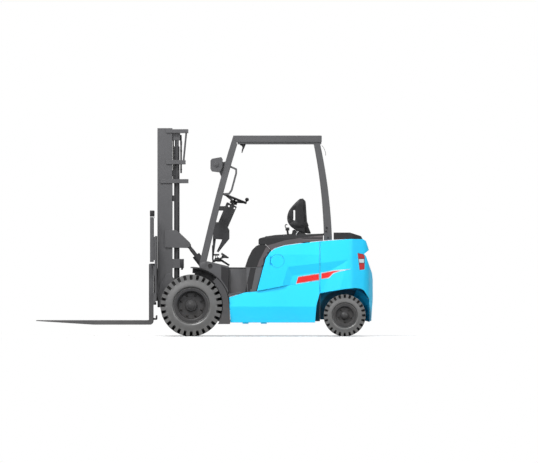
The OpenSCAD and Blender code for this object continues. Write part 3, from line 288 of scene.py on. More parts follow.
SLOTS = {
    "blue_paint": ("frame", "side_panels", "charge_flap"),
    "blue_casting": ("counterweight",),
    "grey_paint": ("headlamps", "guard_front", "guard_rear", "guard_roof", "outer_rails", "outer_ties",
                   "inner_rails", "inner_ties",
                   "carriage", "load_backrest", "fork_left", "fork_right"),
    "dark_paint": ("tilt_barrels", "lift_barrels", "front_rim_left", "front_rim_right", "rear_rim_left",
                   "rear_rim_right", "pedals", "tow_coupling", "battery"),
    "step_plastic": ("steps",),
    "console_plastic": ("console",),
    "cast_steel": ("drive_axle", "steer_axle", "knuckle_left", "knuckle_right", "sheaves"),
    "black_plastic": ("front_cover", "rear_cover", "hood", "steering_wheel", "floor_plate"),
    "grey_plastic": ("front_fenders", "hip_restraints"),
    "cowl_plastic": ("cowls",),
    "seat_cover": ("seat_cushion", "seat_back"),
    "tyre_rubber": ("front_tyre_left", "front_tyre_right", "rear_tyre_left", "rear_tyre_right"),
    "rod_dark": ("lift_rods", "tilt_rods"),
    "chain_steel": ("chains",),
    "lamp_red": ("tail_lamps",),
}
for slot_name, members in SLOTS.items():
    for member in members:
        mesh = nodes[member].data
        mesh.materials.clear()
        mesh.materials.append(MATERIALS[slot_name])


# Shapes

SHARP = math.radians(35)


def piece(name, verts, faces, material, body, smooth=True, covers=()):
    """A mesh piece in the part's frame that rides on a body."""
    mesh = bpy.data.meshes.new(name)
    mesh.from_pydata([tuple(v) for v in verts], [], faces)
    mesh.materials.append(material)
    mesh.validate()
    obj = bpy.data.objects.new(name, mesh)
    bpy.context.scene.collection.objects.link(obj)
    mesh.polygons.foreach_set("use_smooth", [smooth] * len(mesh.polygons))
    if smooth:
        with bpy.context.temp_override(object=obj, active_object=obj, selected_objects=[obj],
                                       selected_editable_objects=[obj]):
            bpy.ops.object.shade_smooth_by_angle(angle=SHARP)
    if body is not None:
        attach(obj, body)
    if covers:
        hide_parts(*covers)
    return obj


class Shape:
    """Collects verts and faces of many small parts into one mesh."""

    def __init__(self):
        self.verts = []
        self.faces = []

    def add(self, verts, faces):
        base = len(self.verts)
        self.verts += [Vector(v) for v in verts]
        self.faces += [[i + base for i in f] for f in faces]
        return self

    def grid(self, rows, close_u=False, close_v=False):
        """Rows of points joined into quads."""
        n, m = len(rows), len(rows[0])
        faces = []
        for i in range(n if close_u else n - 1):
            for j in range(m if close_v else m - 1):
                a, b = (i + 1) % n, (j + 1) % m
                faces.append([i * m + j, a * m + j, a * m + b, i * m + b])
        return self.add([p for row in rows for p in row], faces)

    def lathe(self, profile, origin, axis, count=48):
        """A profile of (radius, along) turned round an axis."""
        axis = Vector(axis).normalized()
        side = axis.orthogonal().normalized()
        up = axis.cross(side)
        rows = []
        for i in range(count):
            a = 2 * math.pi * i / count
            spoke = side * math.cos(a) + up * math.sin(a)
            rows.append([Vector(origin) + spoke * r + axis * h for r, h in profile])
        return self.grid(rows, close_u=True)

    def prism(self, outline, thick, bevel=0.0):
        """A closed outline of points with a thickness vector and a small chamfer on the far rim."""
        outline = [Vector(p) for p in outline]
        thick = Vector(thick)
        n = len(outline)
        middle = sum(outline, Vector()) / n
        shrink = [p + (middle - p).normalized() * bevel for p in outline]
        lift = thick.normalized() * bevel
        rings = [outline, [p + thick - lift for p in outline], [p + thick for p in shrink]]
        verts = [p for ring in rings for p in ring]
        faces = [list(range(n))[::-1], list(range(2 * n, 3 * n))]
        for r in range(2):
            for i in range(n):
                j = (i + 1) % n
                faces.append([r * n + i, r * n + j, (r + 1) * n + j, (r + 1) * n + i])
        return self.add(verts, faces)

    def block(self, low, high, bevel=0.002):
        """A box with chamfered edges on all sides."""
        bm = bmesh.new()
        bmesh.ops.create_cube(bm, size=1.0)
        low, high = Vector(low), Vector(high)
        for v in bm.verts:
            v.co = Vector(((low[k] + high[k]) / 2 + v.co[k] * (high[k] - low[k]) for k in range(3)))
        bmesh.ops.bevel(bm, geom=bm.edges[:], offset=bevel, segments=2, affect="EDGES", profile=0.5)
        bm.verts.index_update()
        self.add([v.co.copy() for v in bm.verts], [[v.index for v in f.verts] for f in bm.faces])
        bm.free()
        return self

    def tube(self, points, radius, count=12):
        """A round bar through points, closed at both ends."""
        points = [Vector(p) for p in points]
        rows = []
        side = None
        for i, p in enumerate(points):
            d = (points[min(i + 1, len(points) - 1)] - points[max(i - 1, 0)]).normalized()
            side = d.orthogonal() if side is None else side - d * side.dot(d)
            side.normalize()
            up = d.cross(side)
            turns = [2 * math.pi * k / count for k in range(count)]
            rows.append([p + (side * math.cos(a) + up * math.sin(a)) * radius for a in turns])
        base = len(self.verts)
        self.grid(rows, close_v=True)
        last = base + (len(rows) - 1) * count
        self.faces += [list(range(base, base + count))[::-1], list(range(last, last + count))]
        return self

    def make(self, name, material, body, slot_name, smooth=True, covers=()):
        return piece(name, self.verts, self.faces, material, body, smooth, covers)


def smooth_path(points, steps=8):
    """A curve through points."""
    pts = [Vector(p) for p in points]
    out = []
    for i in range(len(pts) - 1):
        a, b = pts[max(i - 1, 0)], pts[i]
        c, d = pts[i + 1], pts[min(i + 2, len(pts) - 1)]
        for k in range(steps):
            t = k / steps
            out.append(0.5 * (2 * b + (c - a) * t + (2 * a - 5 * b + 4 * c - d) * t * t
                              + (3 * b - a - 3 * c + d) * t ** 3))
    return out + [pts[-1]]


SIDES = (("left", 1), ("right", -1))


# Tyres with staggered lugs on both shoulders

LUG_SHARE = 0.29
GROOVE_FROM = 0.27
BEAD = 0.026
RIM_LIP = 0.0185


def tyre_mesh(centre, radius, width, seat, lugs, depth, outer):
    """Quads over the tyre's section, which runs over a lug or through the gap beside it."""
    gap_r = radius - depth
    bead_top = seat + BEAD
    rise = gap_r - bead_top
    wall = [(seat, width * 0.4), (bead_top - 0.004, width * 0.4), (bead_top, width * 0.404)]
    wall += [(bead_top + rise * t, width * w) for t, w in
             ((0.03, 0.42), (0.06, 0.452), (0.1, 0.482), (0.15, 0.4965), (0.21, 0.4995), (0.32, 0.4975),
              (0.46, 0.492), (0.6, 0.484), (0.74, 0.475))]
    lug = [(gap_r - 0.008, width * 0.472), (radius - 0.012, width * 0.472), (radius - 0.004, width * 0.468),
           (radius, width * 0.456), (radius, width * 0.25), (radius, width * 0.02),
           (radius - 0.003, width * 0.004)]
    gap = [(gap_r - 0.012, width * 0.469), (gap_r - 0.004, width * 0.462), (gap_r, width * 0.454),
           (gap_r, width * 0.44), (gap_r, width * 0.25), (gap_r, width * 0.02), (gap_r, width * 0.004)]
    pitch = 2 * math.pi / lugs
    marks = (0.0, 0.1, 0.195, 0.225, 0.275, 0.305, 0.4, 0.5, 0.6, 0.695, 0.725, 0.775, 0.805, 0.9)
    rows = []
    for i in range(lugs):
        for m in marks:
            a = (i + m) * pitch
            spoke = Vector((math.sin(a), 0, math.cos(a)))
            halves = []
            for side in (1, -1):
                t = (m + (0.5 if side == outer else 0.0)) % 1.0
                on_lug = min(t, 1 - t) < LUG_SHARE
                halves.append([centre + spoke * r + Vector((0, side * y, 0))
                               for r, y in wall + (lug if on_lug else gap)])
            rows.append(halves[0] + halves[1][::-1])
    return Shape().grid(rows,
                        close_u=True), [(marks[k] + marks[(k + 1) % len(marks)] + (k + 1 == len(marks))) / 2
                                              for k in range(len(marks))]


WALL_POINTS, LUG_POINTS = 12, 7
TYRES = (("front", 28, 0.044), ("rear", 24, 0.030))
for end, lugs, lug_depth in TYRES:
    for side, s in SIDES:
        node = f"{end}_tyre_{side}"
        low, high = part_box(node)
        rim_low, rim_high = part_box(f"{end}_rim_{side}")
        centre = (low + high) / 2
        seat = (rim_high.z - rim_low.z) / 2 - RIM_LIP
        made, middles = tyre_mesh(centre, (high.z - low.z) / 2, high.y - low.y, seat, lugs, lug_depth, s)
        tread = made.make(f"{end}_tread_{side}", MATERIALS["tyre_rubber"], f"{end}_wheel_{side}",
                          "tyre_rubber", covers=[node])
        tread.data.materials.append(MATERIALS["tyre_wall"])
        tread.data.materials.append(MATERIALS["tyre_groove_shade"])
        across = 2 * (WALL_POINTS + LUG_POINTS) - 1
        for face in tread.data.polygons:
            i, j = divmod(face.index, across)
            on_left = j < across // 2
            t = (middles[i % len(middles)] + (0.5 if on_left == (s > 0) else 0.0)) % 1.0
            if min(j, across - 1 - j) < WALL_POINTS:
                face.material_index = 1
            # Faces in the gaps between lugs and along the middle take the darker groove rubber as painted
            # shade
            elif j == across // 2 or min(t, 1 - t) > GROOVE_FROM:
                face.material_index = 2


# Wheel nuts and hub caps

RING_R = 0.1375
RING_BEAD = 0.0045


def wheel_fittings(end, side, s, ring_r, count, nut, face_y, cap, cap_y, cap_count):
    """Nuts on washers round the rim's disc, a raised ring on the front ones, and the hub cap."""
    low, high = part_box(f"{end}_rim_{side}")
    c = (low + high) / 2
    body = f"{end}_wheel_{side}"
    nuts = Shape()
    for i in range(count):
        a = 2 * math.pi * (i + 0.5) / count
        p = Vector((c.x + ring_r * math.sin(a), s * face_y, c.z + ring_r * math.cos(a)))
        nuts.lathe([(0.0, 0.0), (nut * 1.4, 0.0), (nut * 1.4, 0.003), (nut, 0.005)], p, (0, s, 0), 20)
        nuts.lathe([(nut, 0.004), (nut, 0.011), (nut * 0.8, 0.014), (0.0, 0.014)], p, (0, s, 0), 6)
        nuts.lathe([(nut * 0.55, 0.013), (nut * 0.55, 0.018), (nut * 0.4, 0.02), (0.0, 0.02)], p, (0, s, 0),
                   14)
    if end == "front":
        turns = [k * math.pi / 5 for k in range(11)]
        nuts.lathe([(RING_R + RING_BEAD * math.cos(a), RING_BEAD * math.sin(a)) for a in turns],
                   Vector((c.x, s * face_y, c.z)), (0, s, 0), 64)
    nuts.make(f"{end}_nuts_{side}", MATERIALS["cast_steel"], body, "cast_steel")
    hub = Shape()
    hub.lathe(cap, Vector((c.x, s * cap_y, c.z)), (0, s, 0), cap_count)
    hub.make(f"{end}_cap_{side}", MATERIALS["dark_paint"], body, "dark_paint")


FRONT_CAP = [(0.062, 0.0), (0.062, 0.009), (0.058, 0.014), (0.044, 0.016), (0.042, 0.02), (0.038, 0.022),
             (0.0, 0.023)]
REAR_CAP = [(0.043, 0.0), (0.043, 0.008), (0.041, 0.014), (0.035, 0.022), (0.026, 0.028), (0.014, 0.032),
            (0.0, 0.033)]
for side, s in SIDES:
    wheel_fittings("front", side, s, ring_r=0.117, count=8, nut=0.0095, face_y=0.511,
                   cap=FRONT_CAP, cap_y=0.529, cap_count=8)
    wheel_fittings("rear", side, s, ring_r=0.07, count=5, nut=0.007, face_y=0.509,
                   cap=REAR_CAP, cap_y=0.527, cap_count=48)


# Seat cushion, seat back and hip restraints, blown up a little as cloth

CLOTH_FRAMES = 20


def soft_copy(node, name, shrink, voxel, pressure, reach, pinned):
    """A remeshed copy of a CAD node, swollen as cloth under pressure and smoothed once."""
    source = nodes[node]
    mesh = source.data.copy()
    obj = bpy.data.objects.new(name, mesh)
    bpy.context.scene.collection.objects.link(obj)
    low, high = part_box(node)
    middle = (low + high) / 2
    for v in mesh.vertices:
        for k in range(3):
            v.co[k] -= math.copysign(min(shrink, abs(v.co[k] - middle[k])), v.co[k] - middle[k])
    bpy.context.view_layer.objects.active = obj
    remesh = obj.modifiers.new("remesh", "REMESH")
    remesh.mode = "VOXEL"
    remesh.voxel_size = voxel
    with bpy.context.temp_override(object=obj, active_object=obj):
        bpy.ops.object.modifier_apply(modifier="remesh")
    smooth = obj.modifiers.new("smooth", "SMOOTH")
    smooth.factor, smooth.iterations = 0.5, 5
    with bpy.context.temp_override(object=obj, active_object=obj):
        bpy.ops.object.modifier_apply(modifier="smooth")
    start = [v.co.copy() for v in obj.data.vertices]
    group = obj.vertex_groups.new(name="held")
    for i, co in enumerate(start):
        if pinned(co, low, high):
            group.add([i], 1.0, "REPLACE")
    cloth = obj.modifiers.new("cloth", "CLOTH")
    set_up = cloth.settings
    set_up.quality = 5
    set_up.mass = 0.4
    set_up.tension_stiffness = set_up.compression_stiffness = 30
    set_up.shear_stiffness = 12
    set_up.bending_stiffness = 2
    set_up.use_pressure = True
    set_up.uniform_pressure_force = pressure
    set_up.vertex_group_mass = "held"
    set_up.effector_weights.gravity = 0
    for number in range(1, CLOTH_FRAMES + 1):
        bpy.context.scene.frame_set(number)
    moved = obj.evaluated_get(bpy.context.evaluated_depsgraph_get())
    places = [v.co.copy() for v in moved.data.vertices]
    obj.modifiers.remove(cloth)
    bpy.context.scene.frame_set(1)
    for v, a, b in zip(obj.data.vertices, start, places):
        step = b - a
        v.co = a + step * min(1.0, reach / max(step.length, 1e-9))
    finer = obj.modifiers.new("finer", "SUBSURF")
    finer.levels = finer.render_levels = 1
    with bpy.context.temp_override(object=obj, active_object=obj):
        bpy.ops.object.modifier_apply(modifier="finer")
    obj.vertex_groups.clear()
    obj.data.materials.clear()
    obj.data.materials.append(MATERIALS["seat_cover"])
    obj.data.polygons.foreach_set("use_smooth", [True] * len(obj.data.polygons))
    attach(obj, "hood")
    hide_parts(node)
    return obj


soft_copy("seat_cushion", "seat_cushion_pad", shrink=0.005, voxel=0.006, pressure=4.0, reach=0.012,
          pinned=lambda c, lo, hi: c.z < lo.z + 0.03)
soft_copy("seat_back", "seat_back_pad", shrink=0.003, voxel=0.006, pressure=4.0, reach=0.010,
          pinned=lambda c, lo, hi: c.z < lo.z + 0.08)
soft_copy("hip_restraints", "hip_restraint_pads", shrink=0.001, voxel=0.005, pressure=3.0, reach=0.005,
          pinned=lambda c, lo, hi: c.z < lo.z + 0.06)


# Red stripe with a silver edge, laid on the side panel and the counterweight

RAY_FROM_Y = 2.0
NO_HIT_Y = 0.5


def skin(names):
    """A search tree over the outer faces of some CAD nodes."""
    verts, faces = [], []
    for name in names:
        mesh = nodes[name].data
        base = len(verts)
        verts += [v.co.copy() for v in mesh.vertices]
        faces += [[i + base for i in f.vertices] for f in mesh.polygons]
    return BVHTree.FromPolygons(verts, faces)


def laid_on(tree, outline, s, lift, name, material, step=0.012):
    """A sheet cut to a side-view outline and laid on the body's side, a little proud of it."""
    bm = bmesh.new()
    corners = [bm.verts.new((at(x, 0, z).x, 0.0, z / 1000)) for x, z in outline]
    bm.faces.new(corners)
    span_x = [c.co.x for c in corners]
    span_z = [c.co.z for c in corners]
    for axis, low, high in ((0, min(span_x), max(span_x)), (2, min(span_z), max(span_z))):
        k = low + step
        while k < high:
            plane = Vector((0, 0, 0))
            plane[axis] = k
            normal = Vector((0, 0, 0))
            normal[axis] = 1.0
            bmesh.ops.bisect_plane(bm, geom=bm.verts[:] + bm.edges[:] + bm.faces[:], plane_co=plane,
                                   plane_no=normal)
            k += step
    for v in bm.verts:
        hit = tree.ray_cast(Vector((v.co.x, s * RAY_FROM_Y, v.co.z)), Vector((0, -s, 0)))[0]
        v.co.y = (hit.y if hit is not None else s * NO_HIT_Y) + s * lift
    bmesh.ops.recalc_face_normals(bm, faces=bm.faces[:])
    if bm.faces[:] and sum(f.normal.y for f in bm.faces) * s < 0:
        bmesh.ops.reverse_faces(bm, faces=bm.faces[:])
    bm.verts.index_update()
    verts = [v.co.copy() for v in bm.verts]
    faces = [[v.index for v in f.verts] for f in bm.faces]
    bm.free()
    return piece(name, verts, faces, material, "truck")


STRIPE_RED = surface("stripe_red", rgb(222, 34, 36), 0.32, 0.08, coat=0.4, grain=900.0, bump=0.01,
                     patch=4.0)
STRIPE_SILVER = surface("stripe_silver", rgb(186, 196, 202), 0.3, 0.08, metal=0.6, grain=900.0, bump=0.01,
                        patch=6.0)
body_skin = skin(["side_panels", "counterweight", "frame"])
STRIPES = (
    ("front", [(-1131, 570), (-1152, 637), (-1372, 671), (-1372, 610)],
     [(-1124, 562), (-1148, 646), (-1376, 681), (-1376, 601)]),
    ("rear", [(-1400, 676), (-1400, 622), (-1477, 634), (-1526, 684), (-1590, 703), (-1600, 707),
              (-1530, 703)],
     [(-1396, 685), (-1396, 614), (-1480, 626), (-1530, 676), (-1592, 696), (-1711, 722), (-1711, 727),
      (-1600, 717), (-1530, 712)]),
)
for side, s in SIDES:
    for part, red, silver in STRIPES:
        laid_on(body_skin, silver, s, 0.0008, f"stripe_edge_{part}_{side}", STRIPE_SILVER)
        laid_on(body_skin, red, s, 0.0016, f"stripe_{part}_{side}", STRIPE_RED)


# Lighter trim band between the blue panels and the dark covers

TRIM = surface("trim_band", rgb(80, 75, 77), 0.5, 0.1, grain=700.0, bump=0.08, patch=4.0,
               edge=rgb(130, 128, 128), edge_amount=0.4)
cover_skin = skin(["hood", "front_cover", "steps"])
BANDS = (
    ("front", [(-771, 748), (-706, 748), (-738, 832), (-778, 908), (-806, 964), (-856, 919), (-843, 903),
               (-801, 840)]),
    ("deck", [(-863, 927), (-812, 977), (-905, 1002), (-1010, 1034), (-1170, 1058), (-1331, 1078),
              (-1412, 1086), (-1412, 1034), (-1331, 1024), (-1170, 1007), (-1008, 985), (-901, 953)]),
)
for side, s in SIDES:
    for part, outline in BANDS:
        laid_on(cover_skin, outline, s, 0.0012, f"trim_{part}_{side}", TRIM, 0.02)


# Pillar feet, painted shade on the cowls where their sides turn inward, and dark bands on the steps

DARK_BAND = surface("dark_band", rgb(36, 35, 37), 0.55, 0.15, grain=600.0, bump=0.08, patch=5.0)
cowl_skin = skin(["cowls"])
for side, s in SIDES:
    laid_on(cowl_skin, [(-91, 742), (-91, 803), (-168, 803), (-152, 727)], s, 0.003, f"pillar_foot_{side}",
            MATERIALS["grey_paint"], 0.03)
    # Painted shade: a dark sheet on the cowl's rear part, where its side turns inward
    laid_on(cowl_skin, [(-322, 756), (-397, 738), (-397, 496), (-381, 528), (-354, 573), (-322, 614)], s,
            0.0012, f"cowl_shade_{side}",
            DARK_BAND, 0.012)
    # A dark band laid on the step
    laid_on(cover_skin, [(-636, 738), (-696, 738), (-643, 478), (-579, 478)], s, 0.0012,
            f"step_dark_band_{side}",
            DARK_BAND, 0.03)


# Dark strips in the seams round the front cover, the cowls and the steps: painted shade in the gaps

# Dark rubber for pads and lamp borders, also used for dark strips that stand in for shade
DARK_RUBBER_AND_SHADE = surface("dark_rubber_and_shade", rgb(24, 24, 25), 0.7, 0.2, grain=500.0, bump=0.08, patch=8.0)


def strip(shape, line, thick, y0, y1, s):
    """A flat strip along a side-view line, between two distances from the middle."""
    pts = [Vector((x, z)) for x, z in line]
    edge = []
    for i, q in enumerate(pts):
        d = (pts[min(i + 1, len(pts) - 1)] - pts[max(i - 1, 0)]).normalized()
        edge.append((q, Vector((-d.y, d.x)) * thick / 2))
    outline = [q + n for q, n in edge] + [q - n for q, n in reversed(edge)]
    low = [at(q.x, s * y0, q.y) for q in outline]
    shape.prism(low if s < 0 else low[::-1], (0, s * (y1 - y0) / 1000, 0))


for side, s in SIDES:
    # Painted shade: dark strips laid in the seam gaps
    seam_shade = Shape()
    strip(seam_shade, [(-734, 986), (-794, 986)], 2.6, 514, 524, s)
    strip(seam_shade, [(-793, 985), (-858.5, 921)], 6.6, 505, 523, s)
    strip(seam_shade, [(-703, 487), (-769, 733), (-787, 792), (-803, 842), (-845, 905), (-857, 919)],
          9, 478, 494, s)
    strip(seam_shade, [(-402, 447), (-402, 744)], 5.6, 405, 427, s)
    seam_shade.make(f"seals_{side}", DARK_RUBBER_AND_SHADE, "truck", "black_plastic", smooth=False)


# Front arches: a liner behind the tyre, a flange that closes the slit beside it and a dark bead along the
# fender that paints its shadow line

ARCH_R = 362
LINER_IN = 296
FLANGE_IN = 338.5
SHADOW_BEAD_R = 409
TURNS = [math.radians(-30 + 3 * i) for i in range(39)]
SPANS = list(zip(TURNS, TURNS[1:]))
FLANGE_SPANS = [span for span in SPANS if span[0] < math.radians(40)]


def on_front_arch(r, a):
    """A side-view point at a radius and angle round the front axle, counted from the rear."""
    return (-r * math.cos(a), FRONT_AXLE_Z + r * math.sin(a))


def arch_band(first_r, second_r, spans, y, thick, s):
    """Flat plates between two radii round the front axle."""
    band = Shape()
    for a, b in spans:
        corners = ((first_r, a), (first_r, b), (second_r, b), (second_r, a))
        quad = [on_front_arch(*corner) for corner in corners]
        band.prism([at(x, s * y, z) for x, z in quad], (0, s * thick, 0))
    return band


for side, s in SIDES:
    liner = arch_band(ARCH_R, LINER_IN, SPANS, 382, 0.002, s)
    liner.make(f"arch_liner_{side}", MATERIALS["grey_plastic"], "truck", "grey_plastic", smooth=False)
    flange = arch_band(FLANGE_IN, ARCH_R, FLANGE_SPANS, 546, 0.0065, s)
    flange.make(f"fender_flange_{side}", MATERIALS["grey_plastic"], "truck", "grey_plastic", smooth=False)
    # Painted shade: a dark bead along the fender's outer arc stands in for the shadow line there
    shadow_bead = Shape()
    rim = [on_front_arch(SHADOW_BEAD_R, a) for a in TURNS if 0.0 < a < 1.45]
    shadow_bead.tube([at(x, s * 552, z) for x, z in rim], 0.0045, 10)
    shadow_bead.make(f"fender_shadow_bead_{side}", DARK_RUBBER_AND_SHADE, "truck", "black_plastic")


# Splash guards: flared sheets that close the arch behind the rear wheels, clear of the steered tyre

SPLASH_PROFILE = [(262, 219), (275, 234), (300, 247), (320, 255)]
SPLASH_Y = 362
SPLASH_TOP_R = 308
SPLASH_THICK = 4
REAR_WALL = 265.5
# A darker blue than the body paint: painted shade for the sheet inside the arch
SPLASH_SHADED_BLUE = surface("splash_shaded_blue", rgb(20, 158, 214), 0.5, 0.08, grain=260.0, bump=0.05, patch=3.0, gloss=0.2)
for side, s in SIDES:
    guard = Shape()
    rows = []
    for turn in range(-15, 66, 5):
        a = math.radians(turn)
        front = SPLASH_PROFILE + [(SPLASH_Y, min(REAR_WALL / math.cos(a), SPLASH_TOP_R))]
        loop = front + [(y, r + SPLASH_THICK) for y, r in reversed(front)]
        rows.append([at(REAR_AXLE_X - r * math.cos(a), s * y, REAR_AXLE_Z + r * math.sin(a))
                     for y, r in loop])
    if s > 0:
        rows.reverse()
    guard.grid(rows, close_v=True)
    around = len(rows[0])
    last = len(guard.verts) - around
    for j in range(around // 2 - 1):
        guard.faces.append([j, j + 1, around - 2 - j, around - 1 - j])
        guard.faces.append([last + around - 1 - j, last + around - 2 - j, last + j + 1, last + j])
    guard.make(f"splash_guard_{side}", SPLASH_SHADED_BLUE, "truck", "blue_paint")


# Headlamps: bezel and lens

GLASS = surface("lamp_glass", rgb(226, 232, 236), 0.12, 0.05, metal=0.3, coat=0.8, grain=120.0, bump=0.06,
                patch=20.0)
for side, s in SIDES:
    lamp = Vector((at(-212, 0, 1848).x, s * 0.4785, at(-212, 0, 1848).z - 0.002))
    bezel = Shape()
    bezel.lathe([(0.05, -0.002), (0.05, 0.003), (0.046, 0.005), (0.041, 0.0045), (0.039, 0.0)],
                lamp, (1, 0, 0), 40)
    bezel.make(f"headlamp_bezel_{side}", MATERIALS["black_plastic"], "truck", "black_plastic")
    lens = Shape()
    lens.lathe([(0.04, 0.0), (0.038, 0.0015), (0.03, 0.0032), (0.018, 0.0043), (0.0, 0.0048)],
               lamp, (1, 0, 0), 40)
    lens.make(f"headlamp_lens_{side}", GLASS, "truck", "rod_chrome")


# Tail lamps: a pale band with dark borders across the red lens

LENS_WHITE = surface("lens_white", rgb(205, 214, 220), 0.2, 0.1, coat=0.6, grain=80.0, bump=0.08,
                     patch=15.0)
lamp_skin = skin(["tail_lamps"])
for side, s in SIDES:
    laid_on(lamp_skin, [(-1797, 838), (-1862, 838), (-1863, 786), (-1803, 786)], s, 0.0006,
            f"tail_lamp_border_{side}", DARK_RUBBER_AND_SHADE, 0.02)
    laid_on(lamp_skin, [(-1801, 832), (-1857, 832), (-1858, 792), (-1807, 792)], s, 0.0014,
            f"tail_lamp_white_{side}", LENS_WHITE, 0.02)


# Small fittings: cowl plugs, post bolts, step studs, column bracket, pedal pads, roof hook and aerial wire

METAL = surface("bright_metal", rgb(176, 178, 180), 0.3, 0.1, metal=0.8, grain=600.0, bump=0.02, patch=20.0)
HOSE = surface("hose_rubber", rgb(26, 26, 27), 0.5, 0.2, grain=900.0, bump=0.1, patch=15.0)
for side, s in SIDES:
    plug = Shape()
    plug.lathe([(0.025, 0.0), (0.025, 0.003), (0.0225, 0.0045), (0.0205, 0.0035), (0.0195, 0.001),
                (0.008, 0.001), (0.0, 0.002)],
               at(-204, s * 515, 758), (0, s, 0), 36)
    plug.make(f"cowl_plug_{side}", MATERIALS["black_plastic"], "truck", "black_plastic")
    bolts = Shape()
    for x, z in ((-1471, 1062), (-1452, 1130), (-1456, 1168)):
        bolts.lathe([(0.011, 0.0), (0.011, 0.002), (0.0075, 0.003)], at(x, s * 505, z), (0, s, 0), 20)
        bolts.lathe([(0.0075, 0.002), (0.0075, 0.007), (0.006, 0.009), (0.0, 0.009)], at(x, s * 505, z),
                    (0, s, 0), 6)
    bolts.make(f"post_bolts_{side}", MATERIALS["cast_steel"], "truck", "cast_steel")
    studs = Shape()
    for row in range(2):
        for i in range(13):
            studs.lathe([(0.0042, 0.0), (0.0038, 0.0014), (0.0024, 0.0024), (0.0, 0.0028)],
                        at(-412 - 11 * i - 5.5 * row, s * 521, 463 - 10 * row), (0, s, 0), 12)
    studs.make(f"step_studs_{side}", MATERIALS["cowl_plastic"], "truck", "grey_plastic")

column = Shape()
column.block(at(-238, 96, 822), at(-222, 118, 980), 0.003)
column.block(at(-300, 84, 868), at(-222, 112, 886), 0.003)
column.tube([at(-252, 98, 886), at(-262, 98, 850), at(-244, 98, 812)], 0.004, 10)
column.tube([at(-268, 90, 880), at(-282, 90, 846), at(-262, 90, 806)], 0.004, 10)
column.make("column_bracket", MATERIALS["black_plastic"], "truck", "black_plastic", smooth=False)
pads = Shape()
pads.prism([at(x, 146, z) for x, z in ((-260, 806), (-288, 828), (-330, 828), (-372, 798), (-412, 764),
                                       (-402, 755), (-366, 778),
                                       (-322, 804), (-286, 802))], (0, 0.06, 0), 0.002)
pads.prism([at(x, 44, z) for x, z in ((-328, 902), (-340, 892), (-384, 864), (-394, 852), (-386, 846),
                                      (-366, 856), (-352, 866),
                                      (-326, 832), (-314, 838), (-332, 872), (-334, 884), (-322, 894))],
                                      (0, 0.07, 0), 0.002)
pads.make("pedal_pads", DARK_RUBBER_AND_SHADE, "truck", "black_plastic", smooth=False)
hook = Shape()
hook.prism([at(x, 456, z) for x, z in ((-521, 2071), (-523, 2058), (-542, 2050), (-551, 2034), (-543, 2005),
                                       (-540, 1974),
                                       (-549, 1972), (-560, 2004), (-577, 2040), (-588, 2071))],
                                       (0, 0.012, 0), 0.002)
hook.make("roof_hook", MATERIALS["black_plastic"], "truck", "black_plastic", smooth=False)
wire = Shape()
wire.tube(smooth_path([at(-1403, 480, 2052), at(-1418, 480, 2036), at(-1432, 480, 2010),
                       at(-1443, 480, 1982),
                       at(-1446, 480, 1944)]), 0.0022, 8)
wire.make("aerial_wire", HOSE, "truck", "black_plastic")


# Mast hoses with their clamps, and the hose block at the lower tie

for side, s in SIDES:
    hoses = Shape()
    for y in (258, 282):
        hoses.tube([at(112, s * y, 1758), at(112, s * y, 1900), at(112, s * y, 2050), at(114, s * y, 2168)],
                   0.0075, 14)
    hoses.tube(smooth_path([at(122, s * 290, 812), at(106, s * 290, 806), at(96, s * 290, 786),
                            at(96, s * 290, 752),
                            at(104, s * 290, 716)]), 0.009, 14)
    hoses.make(f"mast_hoses_{side}", HOSE, "outer_mast", "black_plastic")
    clamps = Shape()
    for z0, z1 in ((1986, 2016), (2060, 2104), (1790, 1806)):
        clamps.block(at(103, s * 270 - 24, z0), at(121, s * 270 + 24, z1), 0.003)
    clamps.block(at(84, min(s * 338, s * 347), 738), at(119, max(s * 338, s * 347), 828), 0.004)
    clamps.make(f"hose_clamps_{side}", MATERIALS["cast_steel"], "outer_mast", "cast_steel")


# Rubber caps and pale bands on the backrest's end posts

PALE = surface("pale_band", rgb(214, 216, 216), 0.5, 0.08, grain=500.0, bump=0.03, patch=15.0)
for side, s in SIDES:
    cap = Shape()
    cap.block(at(402, s * 483.5 - 28, 1294), at(444.5, s * 483.5 + 28, 1354), 0.003)
    cap.make(f"backrest_cap_{side}", MATERIALS["black_plastic"], "carriage", "black_plastic")
    band = Shape()
    band.block(at(403, s * 498 - 10, 1272), at(434, s * 498 + 10, 1292), 0.001)
    band.make(f"backrest_band_{side}", PALE, "carriage", "grey_paint")


# Seat belt buckle and adjusting lever

for side, s in SIDES:
    stalk = Shape()
    stalk.tube([at(-1046, s * 246, 1052), at(-1040, s * 246, 1100), at(-1034, s * 246, 1142)], 0.011, 12)
    stalk.block(at(-1056, s * 246 - 13, 1138), at(-1014, s * 246 + 13, 1172), 0.004)
    stalk.tube(smooth_path([at(-1020, s * 246, 1168), at(-1010, s * 246, 1184), at(-1018, s * 246, 1204),
                            at(-1034, s * 246, 1198)]),
               0.0045, 10)
    stalk.make(f"buckle_{side}", MATERIALS["black_plastic"], "hood", "black_plastic")
    lever = Shape()
    lever.tube(smooth_path([at(-1092, s * 262, 1066), at(-1112, s * 262, 1076), at(-1130, s * 262, 1098),
                            at(-1146, s * 262, 1126)]),
               0.006, 12)
    lever.make(f"seat_lever_{side}", METAL, "hood", "rod_chrome")


# Camera, light and floor

camera_data = bpy.data.cameras.new("camera")
camera = bpy.data.objects.new("camera", camera_data)
bpy.context.scene.collection.objects.link(camera)
camera.location = (CAMERA_X, CAMERA_Y, CAMERA_Z)
camera.rotation_euler = (math.radians(90), 0, math.radians(180))
camera_data.sensor_width = SENSOR
camera_data.lens = SENSOR * (CAMERA_Y - NEAR_SIDE_Y) / VIEW_WIDTH
camera_data.clip_end = 500
bpy.context.scene.camera = camera

